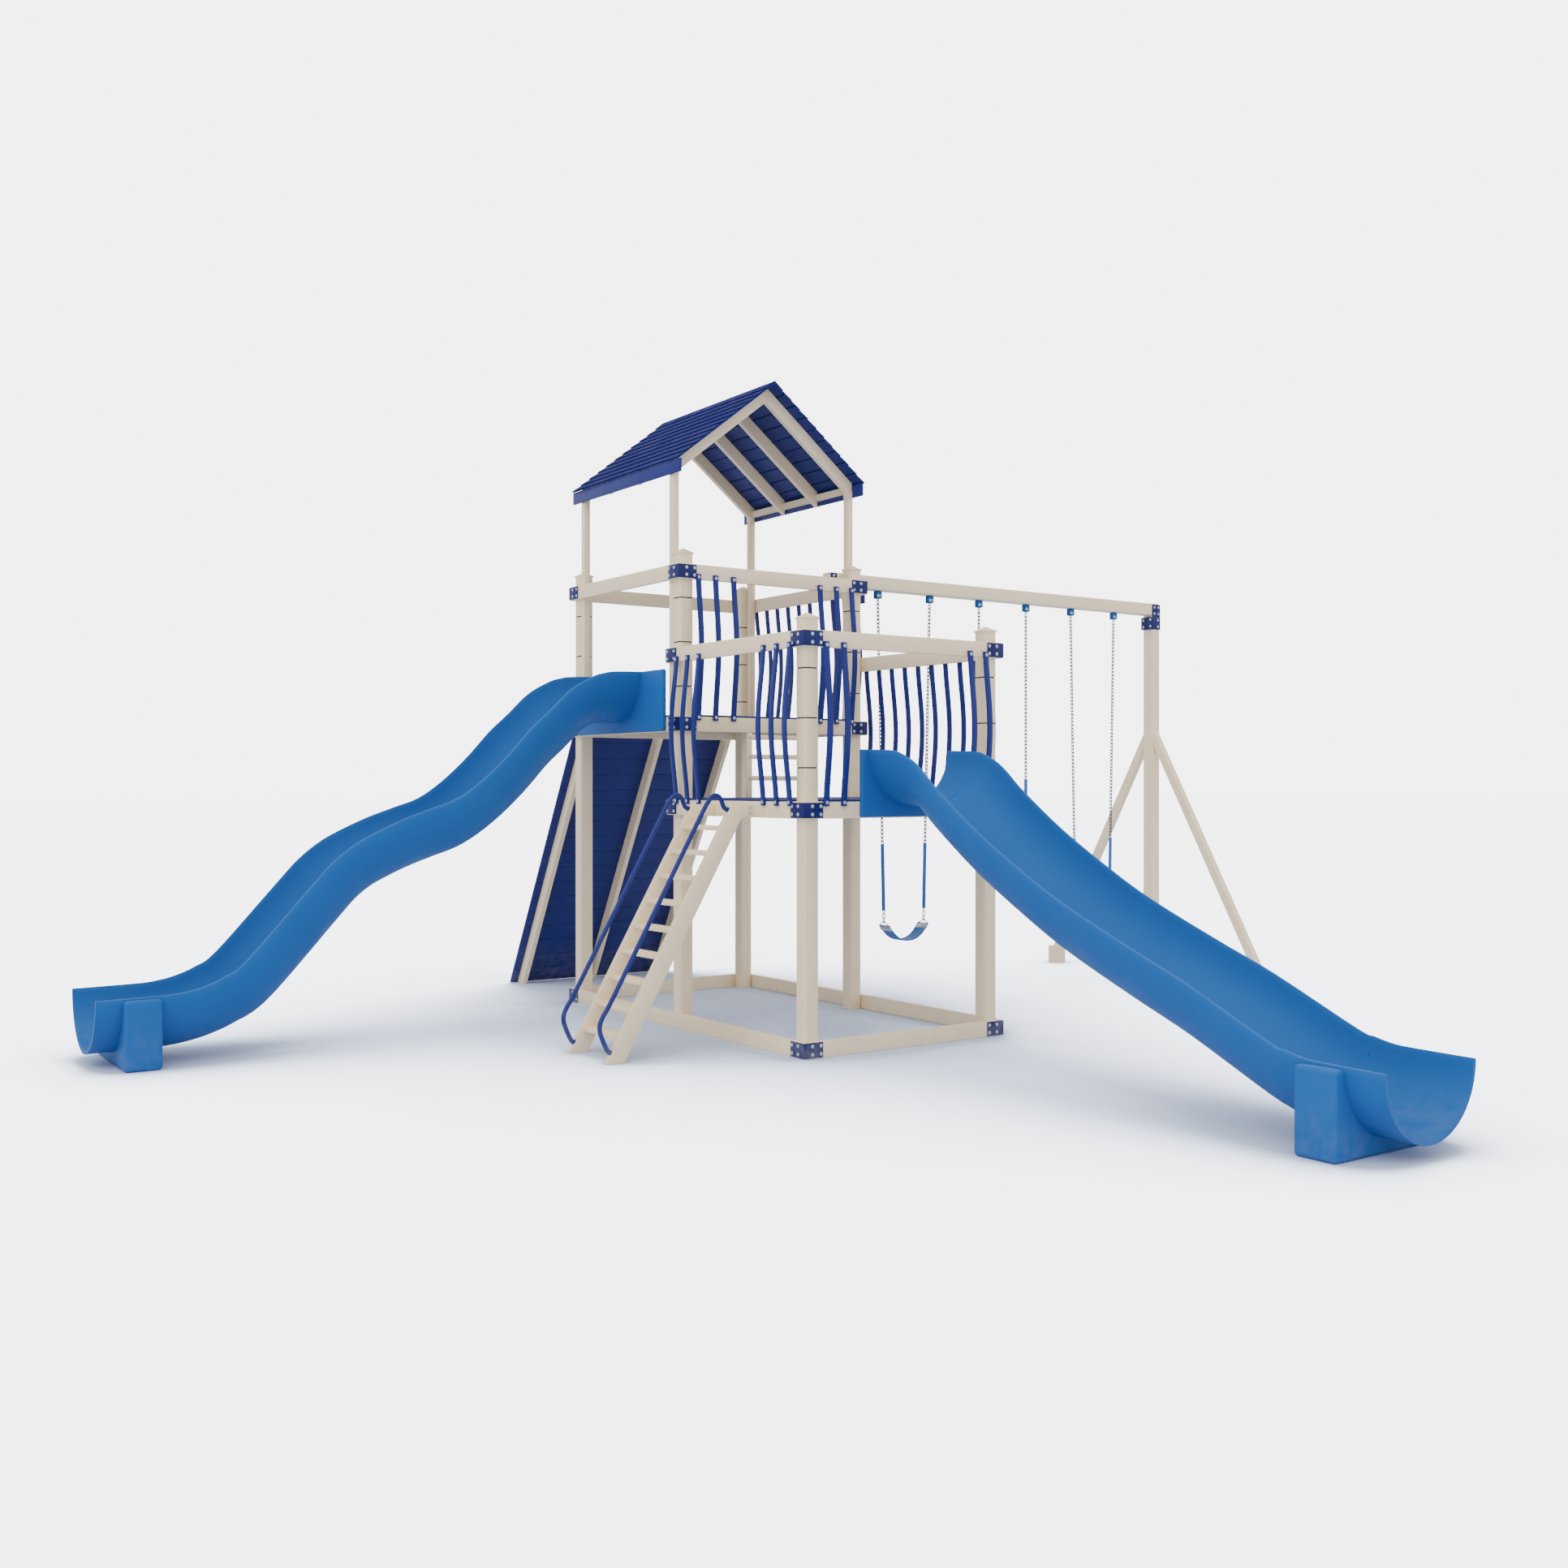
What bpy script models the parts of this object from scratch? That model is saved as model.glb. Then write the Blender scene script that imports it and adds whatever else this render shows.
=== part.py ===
"""Backyard playset: a low and a high vinyl tower, two slides, a ladder, a climbing wall and three swings.

Metres, +Z up. The origin is on the ground under the middle front post. +X runs along the fronts of
the two towers, +Y runs back along the swing beam.
"""

import math

import bmesh
import bpy
from mathutils import Vector

# Towers
BAY = 1.524
POST = 0.107
HALF_POST = POST / 2
POST_CORNER = 0.015
LOW_POST_TOP = 2.80
HIGH_POST_TOP = 3.40
CAP_RISE = 0.03
GAP = 0.0003

# Rails, rims and decks
RAIL_TALL = 0.108
RAIL_OUT = 0.0845
LOW_RIM_TOP = 1.625
HIGH_RIM_TOP = 2.222
RAIL_RISE = 1.09
GROUND_BEAM_TALL = 0.107
FLOOR_THICK = 0.0127
FLOOR_OUT = 0.0835
RAIL_OVERHANG = 0.089

# Pickets
PICKET_WIDE = 0.04
PICKET_THICK = 0.018
PICKET_BOW = 0.042
PICKET_IN = 0.084
PICKET_BELOW = 0.028
PICKET_TALL = 1.048

# Slides
CHUTE_HALF = 0.365
CHUTE_WALL = 0.023
SCOOP_RIM = [
    (1.6088, 1.962), (1.87, 1.953), (1.96, 1.932), (2.08, 1.882), (2.18, 1.813), (2.32, 1.698),
    (2.66, 1.464), (3.03, 1.251), (3.37, 1.078), (3.85, 0.879), (4.24, 0.726), (4.74, 0.500),
    (4.84, 0.472), (4.95, 0.450), (5.08, 0.444), (5.375, 0.440),
]
WAVE_RIM = [
    (0.085, 2.565), (0.32, 2.559), (0.42, 2.543), (0.515, 2.512), (0.685, 2.416), (0.85, 2.261),
    (1.00, 2.126), (1.18, 1.932), (1.37, 1.760), (1.55, 1.638), (1.73, 1.574), (1.91, 1.510),
    (2.08, 1.437), (2.25, 1.349), (2.41, 1.226), (2.57, 1.054), (2.96, 0.624), (3.095, 0.532),
    (3.22, 0.481), (3.34, 0.455), (3.47, 0.445), (3.845, 0.440),
]
SCOOP_PANEL = (1.6088, 1.640, 0.411, 1.524, 1.962)
WAVE_PANEL = (0.085, 0.120, 0.672, 2.120, 2.565)
SCOOP_FOOT = (4.935, 5.168, 0.4275, 0.43)
WAVE_FOOT = (3.470, 3.692, 0.407, 0.43)

# Ladder between the ground and the low deck
LADDER_X = 0.785
LADDER_SPREAD = 0.245
STRINGER_WIDE = 0.037
LADDER_FOOT = -1.19
LADDER_LEAN = math.radians(60)
LADDER_DEPTH = 0.13
TREAD_FIRST = 0.165
TREAD_STEP = 0.162
TREAD_COUNT = 9
HANDRAIL_RADIUS = 0.015
HANDRAIL_PATH = [
    (0.08, GAP), (0.08, 0.02), (0.10, 0.055), (0.133, 0.100), (0.165, 0.135), (0.205, 0.155),
    (0.26, 0.159), (0.34, 0.154), (1.70, 0.160), (1.78, 0.157), (1.83, 0.145), (1.852, 0.115), (1.845, 0.08), (1.812, 0.035),
    (1.812, GAP),
]

# Climbing wall
WALL_FOOT = -2.93
WALL_HEAD = -1.68
WALL_THICK = 0.022
WALL_SIDES = (0.002, 1.522)
WALL_STRINGERS = (0.088, 0.762, 1.436)
WALL_STRINGER_WIDE = 0.04
WALL_STRINGER_DEEP = 0.09

# Roof
ROOF_ENDS = (-1.585, 0.062)
RIDGE_Z = 4.737
EAVE_Z = 4.074
EAVE_OUT = 0.846
ROOF_THICK = 0.016
RAFTER_THICK = 0.04
RAFTER_DEEP = 0.09
ROOF_POST = 0.053
ROOF_POST_TOP = 3.9665
HEADER_Z = (4.006, 4.058)
HEADER_THICK = 0.028

# Swings
BEAM_X = -0.107
BEAM_Z = (3.27, 3.377)
BEAM_ENDS = (1.36, 5.105)
END_POST_Y = 5.05
BRACE_SPREAD = 1.20
BRACE_TOP = 2.15
BRACE_DEEP = 0.066
HANGER_SIZE = (0.05, 0.06)
HANGER_FIRST = 1.868
HANGER_STEP = 0.537
HANGER_BOTTOM = 3.207
PIVOT_Z = 3.195
LINK_RADIUS = 0.006
SLEEVE_RADIUS = 0.0145
BELT_WIDE = 0.13
BELT_LOW = 0.482
BELT_THICK = 0.012
BAR_Z = 1.235

CENTRE = BAY / 2


def start_clean():
    for item in list(bpy.data.objects):
        bpy.data.objects.remove(item)


def material(name, srgb, roughness, metallic=0.0):
    made = bpy.data.materials.new(name)
    made.use_nodes = True
    shader = made.node_tree.nodes["Principled BSDF"]
    linear = [((c + 0.055) / 1.055) ** 2.4 if c > 0.04045 else c / 12.92 for c in srgb]
    shader.inputs["Base Color"].default_value = (*linear, 1.0)
    shader.inputs["Roughness"].default_value = roughness
    shader.inputs["Metallic"].default_value = metallic
    return made


def stand(name, bm, finish, origin=None, parent=None):
    """Turns a mesh drawn in the playset's frame into a named object with its own origin."""
    bmesh.ops.recalc_face_normals(bm, faces=bm.faces)
    if origin is None:
        lows = [min(v.co[i] for v in bm.verts) for i in range(3)]
        highs = [max(v.co[i] for v in bm.verts) for i in range(3)]
        origin = Vector(((lows[0] + highs[0]) / 2, (lows[1] + highs[1]) / 2, lows[2]))
    bmesh.ops.translate(bm, vec=-Vector(origin), verts=bm.verts)
    mesh = bpy.data.meshes.new(name)
    bm.to_mesh(mesh)
    bm.free()
    mesh.materials.append(finish)
    made = bpy.data.objects.new(name, mesh)
    bpy.context.scene.collection.objects.link(made)
    if parent is None:
        made.location = origin
    else:
        made.parent = parent
        made.location = Vector(origin) - parent.location
    return made


def combine(target, bm, operation, name):
    """Joins or cuts a piece with another shape through an exact Boolean."""
    tool = stand(name, bm, target.data.materials[0])
    tool.hide_render = True
    tool.display_type = "WIRE"
    change = target.modifiers.new(name, "BOOLEAN")
    change.operation = operation
    change.solver = "EXACT"
    change.object = tool


def add_loft(bm, rings):
    """Closes a skin over rings of equal length, with flat ends."""
    rows = [[bm.verts.new(p) for p in ring] for ring in rings]
    count = len(rows[0])
    for low, high in zip(rows, rows[1:]):
        for i in range(count):
            j = (i + 1) % count
            bm.faces.new((low[i], low[j], high[j], high[i]))
    bm.faces.new(list(reversed(rows[0])))
    bm.faces.new(rows[-1])


def add_prism(bm, outline, axis, low, high):
    """Extrudes an outline along X, Y or Z. The outline holds the other two coordinates in order."""
    rings = []
    for along in (low, high):
        if axis == "X":
            rings.append([(along, a, b) for a, b in outline])
        elif axis == "Y":
            rings.append([(a, along, b) for a, b in outline])
        else:
            rings.append([(a, b, along) for a, b in outline])
    add_loft(bm, rings)


def add_box(bm, xs, ys, zs):
    add_prism(bm, [(xs[0], ys[0]), (xs[1], ys[0]), (xs[1], ys[1]), (xs[0], ys[1])], "Z", *zs)


def box_piece(name, finish, xs, ys, zs):
    bm = bmesh.new()
    add_box(bm, xs, ys, zs)
    return stand(name, bm, finish)


def smooth_path(points, per_span):
    """Catmull-Rom curve through points of two coordinates."""
    out = []
    last = len(points) - 1
    for i in range(last):
        p0 = Vector(points[max(i - 1, 0)])
        p1 = Vector(points[i])
        p2 = Vector(points[i + 1])
        p3 = Vector(points[min(i + 2, last)])
        for k in range(per_span):
            t = k / per_span
            out.append(
                0.5 * (2 * p1 + (p2 - p0) * t + (2 * p0 - 5 * p1 + 4 * p2 - p3) * t * t
                       + (3 * p1 - p0 - 3 * p2 + p3) * t * t * t)
            )
    out.append(Vector(points[last]))
    return out


def side_normals(path):
    """Mitred normals on the left of a path of two coordinates, scaled to keep the wall even."""
    normals = []
    spans = [(b - a).normalized() for a, b in zip(path, path[1:])]
    for i in range(len(path)):
        before = spans[max(i - 1, 0)]
        after = spans[min(i, len(spans) - 1)]
        mean = (before + after).normalized()
        normals.append(Vector((-mean[1], mean[0])) / mean.dot(after))
    return normals


def add_tube(bm, path, place, radius, sides):
    """Round bar along a path in a plane; place maps (across, u, v) to the playset's frame."""
    rings = []
    for point, normal in zip(path, side_normals(path)):
        ring = []
        for k in range(sides):
            turn = 2 * math.pi * k / sides
            at = point + normal * radius * math.cos(turn)
            ring.append(place(radius * math.sin(turn), at[0], at[1]))
        rings.append(ring)
    add_loft(bm, rings)


def add_turned(bm, start, end, profile, sides):
    """Turned bar between two points; profile holds (distance from the start, radius)."""
    start = Vector(start)
    along = (Vector(end) - start).normalized()
    side = along.orthogonal().normalized()
    other = along.cross(side)
    rings = []
    for distance, radius in profile:
        centre = start + along * distance
        ring = []
        for k in range(sides):
            turn = 2 * math.pi * k / sides
            ring.append(centre + (side * math.cos(turn) + other * math.sin(turn)) * radius)
        rings.append(ring)
    add_loft(bm, rings)


def rounded_square(half, corner, z, at):
    ring = []
    for quarter in range(4):
        base = quarter * math.pi / 2
        cx = (half - corner) * (1 if quarter in (0, 3) else -1)
        cy = (half - corner) * (1 if quarter in (0, 1) else -1)
        for step in range(3):
            turn = base + step * math.pi / 4
            ring.append((at[0] + cx + corner * math.cos(turn), at[1] + cy + corner * math.sin(turn), z))
    return ring


def post(name, at, top, finish):
    """Square vinyl post on the ground with a low pyramid cap."""
    bm = bmesh.new()
    add_loft(bm, [
        rounded_square(HALF_POST, POST_CORNER, 0.0, at),
        rounded_square(HALF_POST, POST_CORNER, top, at),
        rounded_square(0.004, 0.002, top + CAP_RISE, at),
    ])
    return stand(name, bm, finish)


def rail_spans(side, x_low, x_high):
    """Footprint (xs, ys) of a rail on the outer faces of a tower's posts."""
    inner = HALF_POST + GAP
    if side == "front":
        return (x_low, x_high), (-RAIL_OUT, -inner)
    if side == "back":
        return (x_low, x_high), (BAY + inner, BAY + RAIL_OUT)
    between = (-HALF_POST, BAY + HALF_POST)
    if side == "right":
        return (x_high - RAIL_OUT + inner, x_high), between
    return (x_low, x_low + RAIL_OUT - inner), between


def picket_outline(face, outward, low):
    """Bowed picket seen from its edge, as (distance across the rail, height)."""
    stations = 10
    inner = []
    outer = []
    for k in range(stations + 1):
        t = k / stations
        bow = PICKET_BOW * (0.5 - 0.5 * math.cos(2 * math.pi * t)) ** 0.8
        z = low + PICKET_TALL * t
        inner.append((face + outward * bow, z))
        outer.append((face + outward * (bow + PICKET_THICK), z))
    return inner + list(reversed(outer))


def railing(name, side, x_low, x_high, rim_top, pickets, finish, notch=None):
    """Deck rim and top rail joined by bowed pickets; pickets holds their centres along the rail."""
    xs, ys = rail_spans(side, x_low, x_high)
    bm = bmesh.new()
    add_box(bm, xs, ys, (rim_top - RAIL_TALL, rim_top))
    rail_top = rim_top + RAIL_RISE
    if notch is None:
        add_box(bm, xs, ys, (rail_top - RAIL_TALL, rail_top))
    else:
        outline = [
            (xs[0], rail_top - RAIL_TALL), (xs[1], rail_top - RAIL_TALL), (xs[1], rail_top),
            (notch[1], rail_top), (notch[1], notch[2]), (notch[0], notch[2]), (notch[0], rail_top),
            (xs[0], rail_top),
        ]
        add_prism(bm, outline, "Y", *ys)
    made = stand(name, bm, finish)
    slats = bmesh.new()
    low = rim_top - PICKET_BELOW
    for centre in pickets:
        span = (centre - PICKET_WIDE / 2, centre + PICKET_WIDE / 2)
        if side == "front":
            add_prism(slats, picket_outline(-PICKET_IN, -1, low), "X", *span)
        elif side == "back":
            add_prism(slats, picket_outline(BAY + PICKET_IN, 1, low), "X", *span)
        else:
            face = x_high - RAIL_OUT + PICKET_IN
            add_prism(slats, picket_outline(face, 1, low), "Y", *span)
    combine(made, slats, "UNION", name + ".pickets")
    return made


def both_sides(centre, offsets):
    return [centre + sign * offset for offset in offsets for sign in (-1, 1)]


def chute(name, rim, panel, foot, place, finish):
    """Moulded slide: half-round chute with a flange at the top and a foot block at the bottom.

    place maps (run, across, z) to the playset's frame.
    """
    path = smooth_path(rim, 2)
    normals = side_normals(path)
    normals[0] = Vector((0, 1))
    normals[-1] = Vector((0, 1))

    def half_rings(line, radius, lift):
        rings = []
        for point, normal in line:
            ring = []
            if lift:
                ring.append(place(point[0] + normal[0] * lift, -radius, point[1] + normal[1] * lift))
            for k in range(17):
                turn = math.pi * k / 16
                drop = normal * radius * math.sin(turn)
                ring.append(place(point[0] - drop[0], -radius * math.cos(turn), point[1] - drop[1]))
            if lift:
                ring.append(place(point[0] + normal[0] * lift, radius, point[1] + normal[1] * lift))
            rings.append(ring)
        return rings

    body = bmesh.new()
    add_loft(body, half_rings(list(zip(path, normals)), CHUTE_HALF, 0))
    made = stand(name, body, finish)
    near, far, half, low, high = panel
    plates = bmesh.new()
    ring = [place(u, a, z) for u, a, z in (
        (near, -half, low), (near, half, low), (near, half, high), (near, -half, high))]
    ring_far = [place(u, a, z) for u, a, z in (
        (far, -half, low), (far, half, low), (far, half, high), (far, -half, high))]
    add_loft(plates, [ring, ring_far])
    near, far, half, high = foot
    ring = [place(u, a, z) for u, a, z in (
        (near, -half, 0), (near, half, 0), (near, half, high), (near, -half, high))]
    ring_far = [place(u, a, z) for u, a, z in (
        (far, -half, 0), (far, half, 0), (far, half, high), (far, -half, high))]
    add_loft(plates, [ring, ring_far])
    combine(made, plates, "UNION", name + ".mountings")
    line = [(path[0] - Vector((0.05, 0)), Vector((0, 1)))]
    line += list(zip(path, normals))
    line.append((path[-1] + Vector((0.05, 0)), Vector((0, 1))))
    hollow = bmesh.new()
    add_loft(hollow, half_rings(line, CHUTE_HALF - CHUTE_WALL, 0.12))
    combine(made, hollow, "DIFFERENCE", name + ".hollow")
    return made


def ladder(name, finish):
    """Leaning ladder with flat treads; the stringers end in lugs against the deck rim."""
    slope = math.tan(LADDER_LEAN)
    back_foot = LADDER_FOOT + LADDER_DEPTH
    face = -RAIL_OUT - GAP
    outline = [
        (LADDER_FOOT, 0.0), (LADDER_FOOT + 1.585 / slope, 1.585), (-0.262, 1.60), (face, 1.60),
        (face, 1.525), (back_foot + 1.525 / slope, 1.525), (back_foot, 0.0),
    ]
    bm = bmesh.new()
    for side in (-1, 1):
        middle = LADDER_X + side * LADDER_SPREAD
        add_prism(bm, outline, "X", middle - STRINGER_WIDE / 2, middle + STRINGER_WIDE / 2)
    made = stand(name, bm, finish)
    treads = bmesh.new()
    reach = LADDER_SPREAD - STRINGER_WIDE / 2 + 0.004
    for i in range(TREAD_COUNT):
        top = TREAD_FIRST + i * TREAD_STEP
        front = LADDER_FOOT + top / slope + 0.002
        add_box(
            treads, (LADDER_X - reach, LADDER_X + reach), (front, front + LADDER_DEPTH - 0.02),
            (top - 0.028, top),
        )
    combine(made, treads, "UNION", name + ".treads")
    return made


def handrail(name, x, finish):
    """Round grab rail standing off the front edge of a ladder stringer."""
    up = Vector((math.cos(LADDER_LEAN), math.sin(LADDER_LEAN)))
    out = Vector((-up[1], up[0]))
    foot = Vector((LADDER_FOOT, 0.0))
    path = [foot + up * s + out * n for s, n in HANDRAIL_PATH]
    bm = bmesh.new()
    add_tube(bm, path, lambda a, y, z: (x + a, y, z), HANDRAIL_RADIUS, 10)
    return stand(name, bm, finish)


def step_ladder(name, finish):
    """Three rungs between the low deck and the high deck rim."""
    floor = LOW_RIM_TOP + GAP + FLOOR_THICK + GAP
    head = HIGH_RIM_TOP - RAIL_TALL - GAP
    bm = bmesh.new()
    for side in (-1, 1):
        middle = CENTRE + side * 0.24
        add_box(bm, (0.0545, 0.0840), (middle - 0.02, middle + 0.02), (floor, head))
    made = stand(name, bm, finish)
    rungs = bmesh.new()
    for top in (1.798, 1.956, 2.100):
        add_box(rungs, (0.056, 0.0825), (CENTRE - 0.225, CENTRE + 0.225), (top - 0.035, top))
    combine(made, rungs, "UNION", name + ".rungs")
    return made


def climbing_wall(finish, frame_finish):
    """Sloping boards on three stringers that lean on the high deck's left rim."""
    run = Vector((WALL_HEAD - WALL_FOOT, HIGH_RIM_TOP - 0.002))
    along = run.normalized()
    inward = Vector((along[1], -along[0]))

    def at_height(offset, z):
        start = Vector((WALL_FOOT, 0.0)) + inward * offset
        return start + along * ((z - start[1]) / along[1])

    def at_x(offset, x):
        start = Vector((WALL_FOOT, 0.0)) + inward * offset
        return start + along * ((x - start[0]) / along[0])

    head = run[1]
    bm = bmesh.new()
    outline = [at_height(0, 0), at_height(0, head), at_height(WALL_THICK, head), at_height(WALL_THICK, 0)]
    add_prism(bm, outline, "Y", *WALL_SIDES)
    stand("climbing_wall_boards", bm, finish)
    near = WALL_THICK + GAP
    deep = near + WALL_STRINGER_DEEP
    face = -BAY - RAIL_OUT - GAP
    outline = [
        at_height(near, 0), at_height(near, head), Vector((face, head)), at_x(deep, face),
        at_height(deep, 0),
    ]
    for label, y in zip(("front", "middle", "back"), WALL_STRINGERS):
        bm = bmesh.new()
        add_prism(bm, outline, "Y", y - WALL_STRINGER_WIDE / 2, y + WALL_STRINGER_WIDE / 2)
        stand(f"climbing_wall_stringer_{label}", bm, frame_finish)


def roof(cover, trim, timber):
    fall = (RIDGE_Z - EAVE_Z) / EAVE_OUT
    lean = math.atan(fall)
    thick = ROOF_THICK / math.cos(lean)
    for label, sign in (("front", -1), ("back", 1)):
        outline = [
            (CENTRE + sign * 0.0003, RIDGE_Z), (CENTRE + sign * EAVE_OUT, EAVE_Z),
            (CENTRE + sign * EAVE_OUT, EAVE_Z - thick), (CENTRE + sign * 0.0003, RIDGE_Z - thick),
        ]
        bm = bmesh.new()
        add_prism(bm, outline, "X", *ROOF_ENDS)
        stand(f"roof_slope_{label}", bm, cover)
        ys = sorted((CENTRE + sign * 0.81, CENTRE + sign * 0.83))
        box_piece(f"roof_fascia_{label}", trim, ROOF_ENDS, ys, (3.971, 4.065))
    under = RIDGE_Z - thick - 0.0004
    deep = RAFTER_DEEP / math.cos(lean)
    tail = 0.8097
    chevron = [
        (CENTRE - tail, under - fall * tail), (CENTRE, under), (CENTRE + tail, under - fall * tail),
        (CENTRE + tail, under - fall * tail - deep), (CENTRE, under - deep),
        (CENTRE - tail, under - fall * tail - deep),
    ]
    bm = bmesh.new()
    first = -BAY + HALF_POST + ROOF_POST / 2
    last = -HALF_POST - ROOF_POST / 2
    for i in range(4):
        x = first + (last - first) * i / 3
        add_prism(bm, chevron, "X", x - RAFTER_THICK / 2, x + RAFTER_THICK / 2)
    frame = stand("roof_frame", bm, timber)
    headers = bmesh.new()
    packers = bmesh.new()
    for sign in (-1, 1):
        ys = sorted((CENTRE + sign * tail, CENTRE + sign * (tail - HEADER_THICK)))
        add_box(headers, (first, last), ys, HEADER_Z)
        ys = sorted((CENTRE + sign * tail, CENTRE + sign * (CENTRE + HALF_POST - ROOF_POST)))
        for x in (first, last):
            add_box(packers, (x - ROOF_POST / 2, x + ROOF_POST / 2), ys, (ROOF_POST_TOP + GAP, 4.02))
    combine(frame, headers, "UNION", "roof_frame.headers")
    combine(frame, packers, "UNION", "roof_frame.packers")


def swing_brace(name, sign, finish):
    """Sloping leg from the end post to a foot block."""
    top = Vector((HALF_POST + GAP, BRACE_TOP))
    foot = Vector((BRACE_SPREAD, 0.12))
    along = (foot - top).normalized()
    across = Vector((along[1], -along[0])) * BRACE_DEEP / 2
    drop = BRACE_DEEP / 2 / along[0]
    low = foot + across
    high = foot - across
    outline = [
        (BEAM_X + sign * top[0], top[1] - drop), (BEAM_X + sign * top[0], top[1] + drop),
        (BEAM_X + sign * high[0], high[1]), (BEAM_X + sign * low[0], low[1]),
    ]
    bm = bmesh.new()
    add_prism(bm, outline, "Y", END_POST_Y - 0.03, END_POST_Y + 0.03)
    made = stand(name, bm, finish)
    block = bmesh.new()
    xs = sorted((BEAM_X + sign * (BRACE_SPREAD - 0.06), BEAM_X + sign * (BRACE_SPREAD + 0.06)))
    add_box(block, xs, (END_POST_Y - HALF_POST, END_POST_Y + HALF_POST), (0.0, 0.16))
    combine(made, block, "UNION", name + ".block")
    return made


def chain(name, top_y, low_y, low_z, sleeve, ring, finish, pivot):
    """Hanging chain with its hand sleeve, drawn as a turned bar, and the ring that carries the seat."""
    start = Vector((BEAM_X, top_y, PIVOT_Z))
    end = Vector((BEAM_X, low_y, low_z))
    length = (end - start).length
    scale = length / (PIVOT_Z - low_z)
    high = (PIVOT_Z - sleeve[0]) * scale
    low = (PIVOT_Z - sleeve[1]) * scale
    profile = [
        (0.0, LINK_RADIUS), (high, LINK_RADIUS), (high, SLEEVE_RADIUS), (low, SLEEVE_RADIUS),
        (low, LINK_RADIUS), (length, LINK_RADIUS),
    ]
    bm = bmesh.new()
    add_turned(bm, start, end, profile, 10)
    made = stand(name, bm, finish, origin=start, parent=pivot)
    if ring:
        plate = bmesh.new()
        outline = [
            (BEAM_X, low_z + 0.008), (BEAM_X + BELT_WIDE / 2, low_z - 0.024),
            (BEAM_X - BELT_WIDE / 2, low_z - 0.024),
        ]
        add_prism(plate, outline, "Y", low_y - 0.004, low_y + 0.004)
        tool = stand(name + ".ring", plate, finish, parent=pivot)
        tool.hide_render = True
        tool.display_type = "WIRE"
        change = made.modifiers.new("ring", "BOOLEAN")
        change.operation = "UNION"
        change.solver = "EXACT"
        change.object = tool
    return made


def belt_seat(name, y_low, y_high, top_z, finish, pivot):
    """Sagging belt between two end clamps."""
    middle = (y_low + y_high) / 2
    half = (y_high - y_low) / 2
    curve = []
    for k in range(17):
        a = -1 + 2 * k / 16
        curve.append(Vector((middle + half * a, BELT_LOW + (top_z - BELT_LOW) * abs(a) ** 2.4)))
    upper = []
    for point, normal in zip(curve, side_normals(curve)):
        upper.append(point + normal * BELT_THICK)
    upper[0] = Vector((upper[0][0], curve[0][1]))
    upper[-1] = Vector((upper[-1][0], curve[-1][1]))
    bm = bmesh.new()
    add_prism(bm, curve + list(reversed(upper)), "X", BEAM_X - BELT_WIDE / 2, BEAM_X + BELT_WIDE / 2)
    return stand(name, bm, finish, parent=pivot)


def swing(label, hangers, lows, low_z, sleeve, seat, chain_finish, seat_finish):
    """A swing is carried by an empty on its hinge line under the beam."""
    pivot = bpy.data.objects.new(f"{label}_swing_pivot", None)
    pivot.location = (BEAM_X, sum(hangers) / 2, PIVOT_Z)
    bpy.context.scene.collection.objects.link(pivot)
    belt = seat == "belt"
    for side, top_y, low_y in zip(("inner", "outer"), hangers, lows):
        chain(f"{label}_swing_chain_{side}", top_y, low_y, low_z, sleeve, belt, chain_finish, pivot)
    if belt:
        belt_seat(f"{label}_swing_seat", lows[0], lows[1], low_z - 0.0245, seat_finish, pivot)
    else:
        bm = bmesh.new()
        start = (BEAM_X, lows[0] - 0.045, BAR_Z)
        end = (BEAM_X, lows[1] + 0.045, BAR_Z)
        add_turned(bm, start, end, [(0, 0.0175), (lows[1] - lows[0] + 0.09, 0.0175)], 12)
        stand(f"{label}_swing_bar", bm, seat_finish, parent=pivot)


def deck(name, outline, rim_top, finish):
    bm = bmesh.new()
    add_prism(bm, outline, "Z", rim_top + GAP, rim_top + GAP + FLOOR_THICK)
    return stand(name, bm, finish)


start_clean()
cream = material("cream_vinyl", (0.87, 0.835, 0.785), 0.42)
navy = material("navy_board", (0.16, 0.20, 0.47), 0.50)
slide_blue = material("slide_blue", (0.20, 0.43, 0.69), 0.30)
steel = material("chain_steel", (0.55, 0.56, 0.58), 0.35, 0.9)
rubber = material("belt_rubber", (0.17, 0.36, 0.62), 0.55)

# Posts
for name, at, top in (
    ("post_front_left", (-BAY, 0.0), HIGH_POST_TOP),
    ("post_front_middle", (0.0, 0.0), HIGH_POST_TOP),
    ("post_front_right", (BAY, 0.0), LOW_POST_TOP),
    ("post_back_left", (-BAY, BAY), HIGH_POST_TOP),
    ("post_back_middle", (0.0, BAY), HIGH_POST_TOP),
    ("post_back_right", (BAY, BAY), LOW_POST_TOP),
):
    post(name, at, top, cream)

# Roof posts stand on the high deck, the back middle one on the swing beam
HIGH_FLOOR = HIGH_RIM_TOP + GAP + FLOOR_THICK + GAP
left_xs = (-BAY + HALF_POST + GAP, -BAY + HALF_POST + GAP + ROOF_POST)
middle_xs = (-HALF_POST - GAP - ROOF_POST, -HALF_POST - GAP)
front_ys = (-HALF_POST, -HALF_POST + ROOF_POST)
back_ys = (BAY + HALF_POST - ROOF_POST, BAY + HALF_POST)
for name, xs, ys, low in (
    ("roof_post_front_left", left_xs, front_ys, HIGH_FLOOR),
    ("roof_post_front_middle", middle_xs, front_ys, HIGH_FLOOR),
    ("roof_post_back_left", left_xs, back_ys, HIGH_FLOOR),
    ("roof_post_back_middle", middle_xs, back_ys, BEAM_Z[1] + GAP),
):
    box_piece(name, cream, xs, ys, (low, ROOF_POST_TOP))

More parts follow.
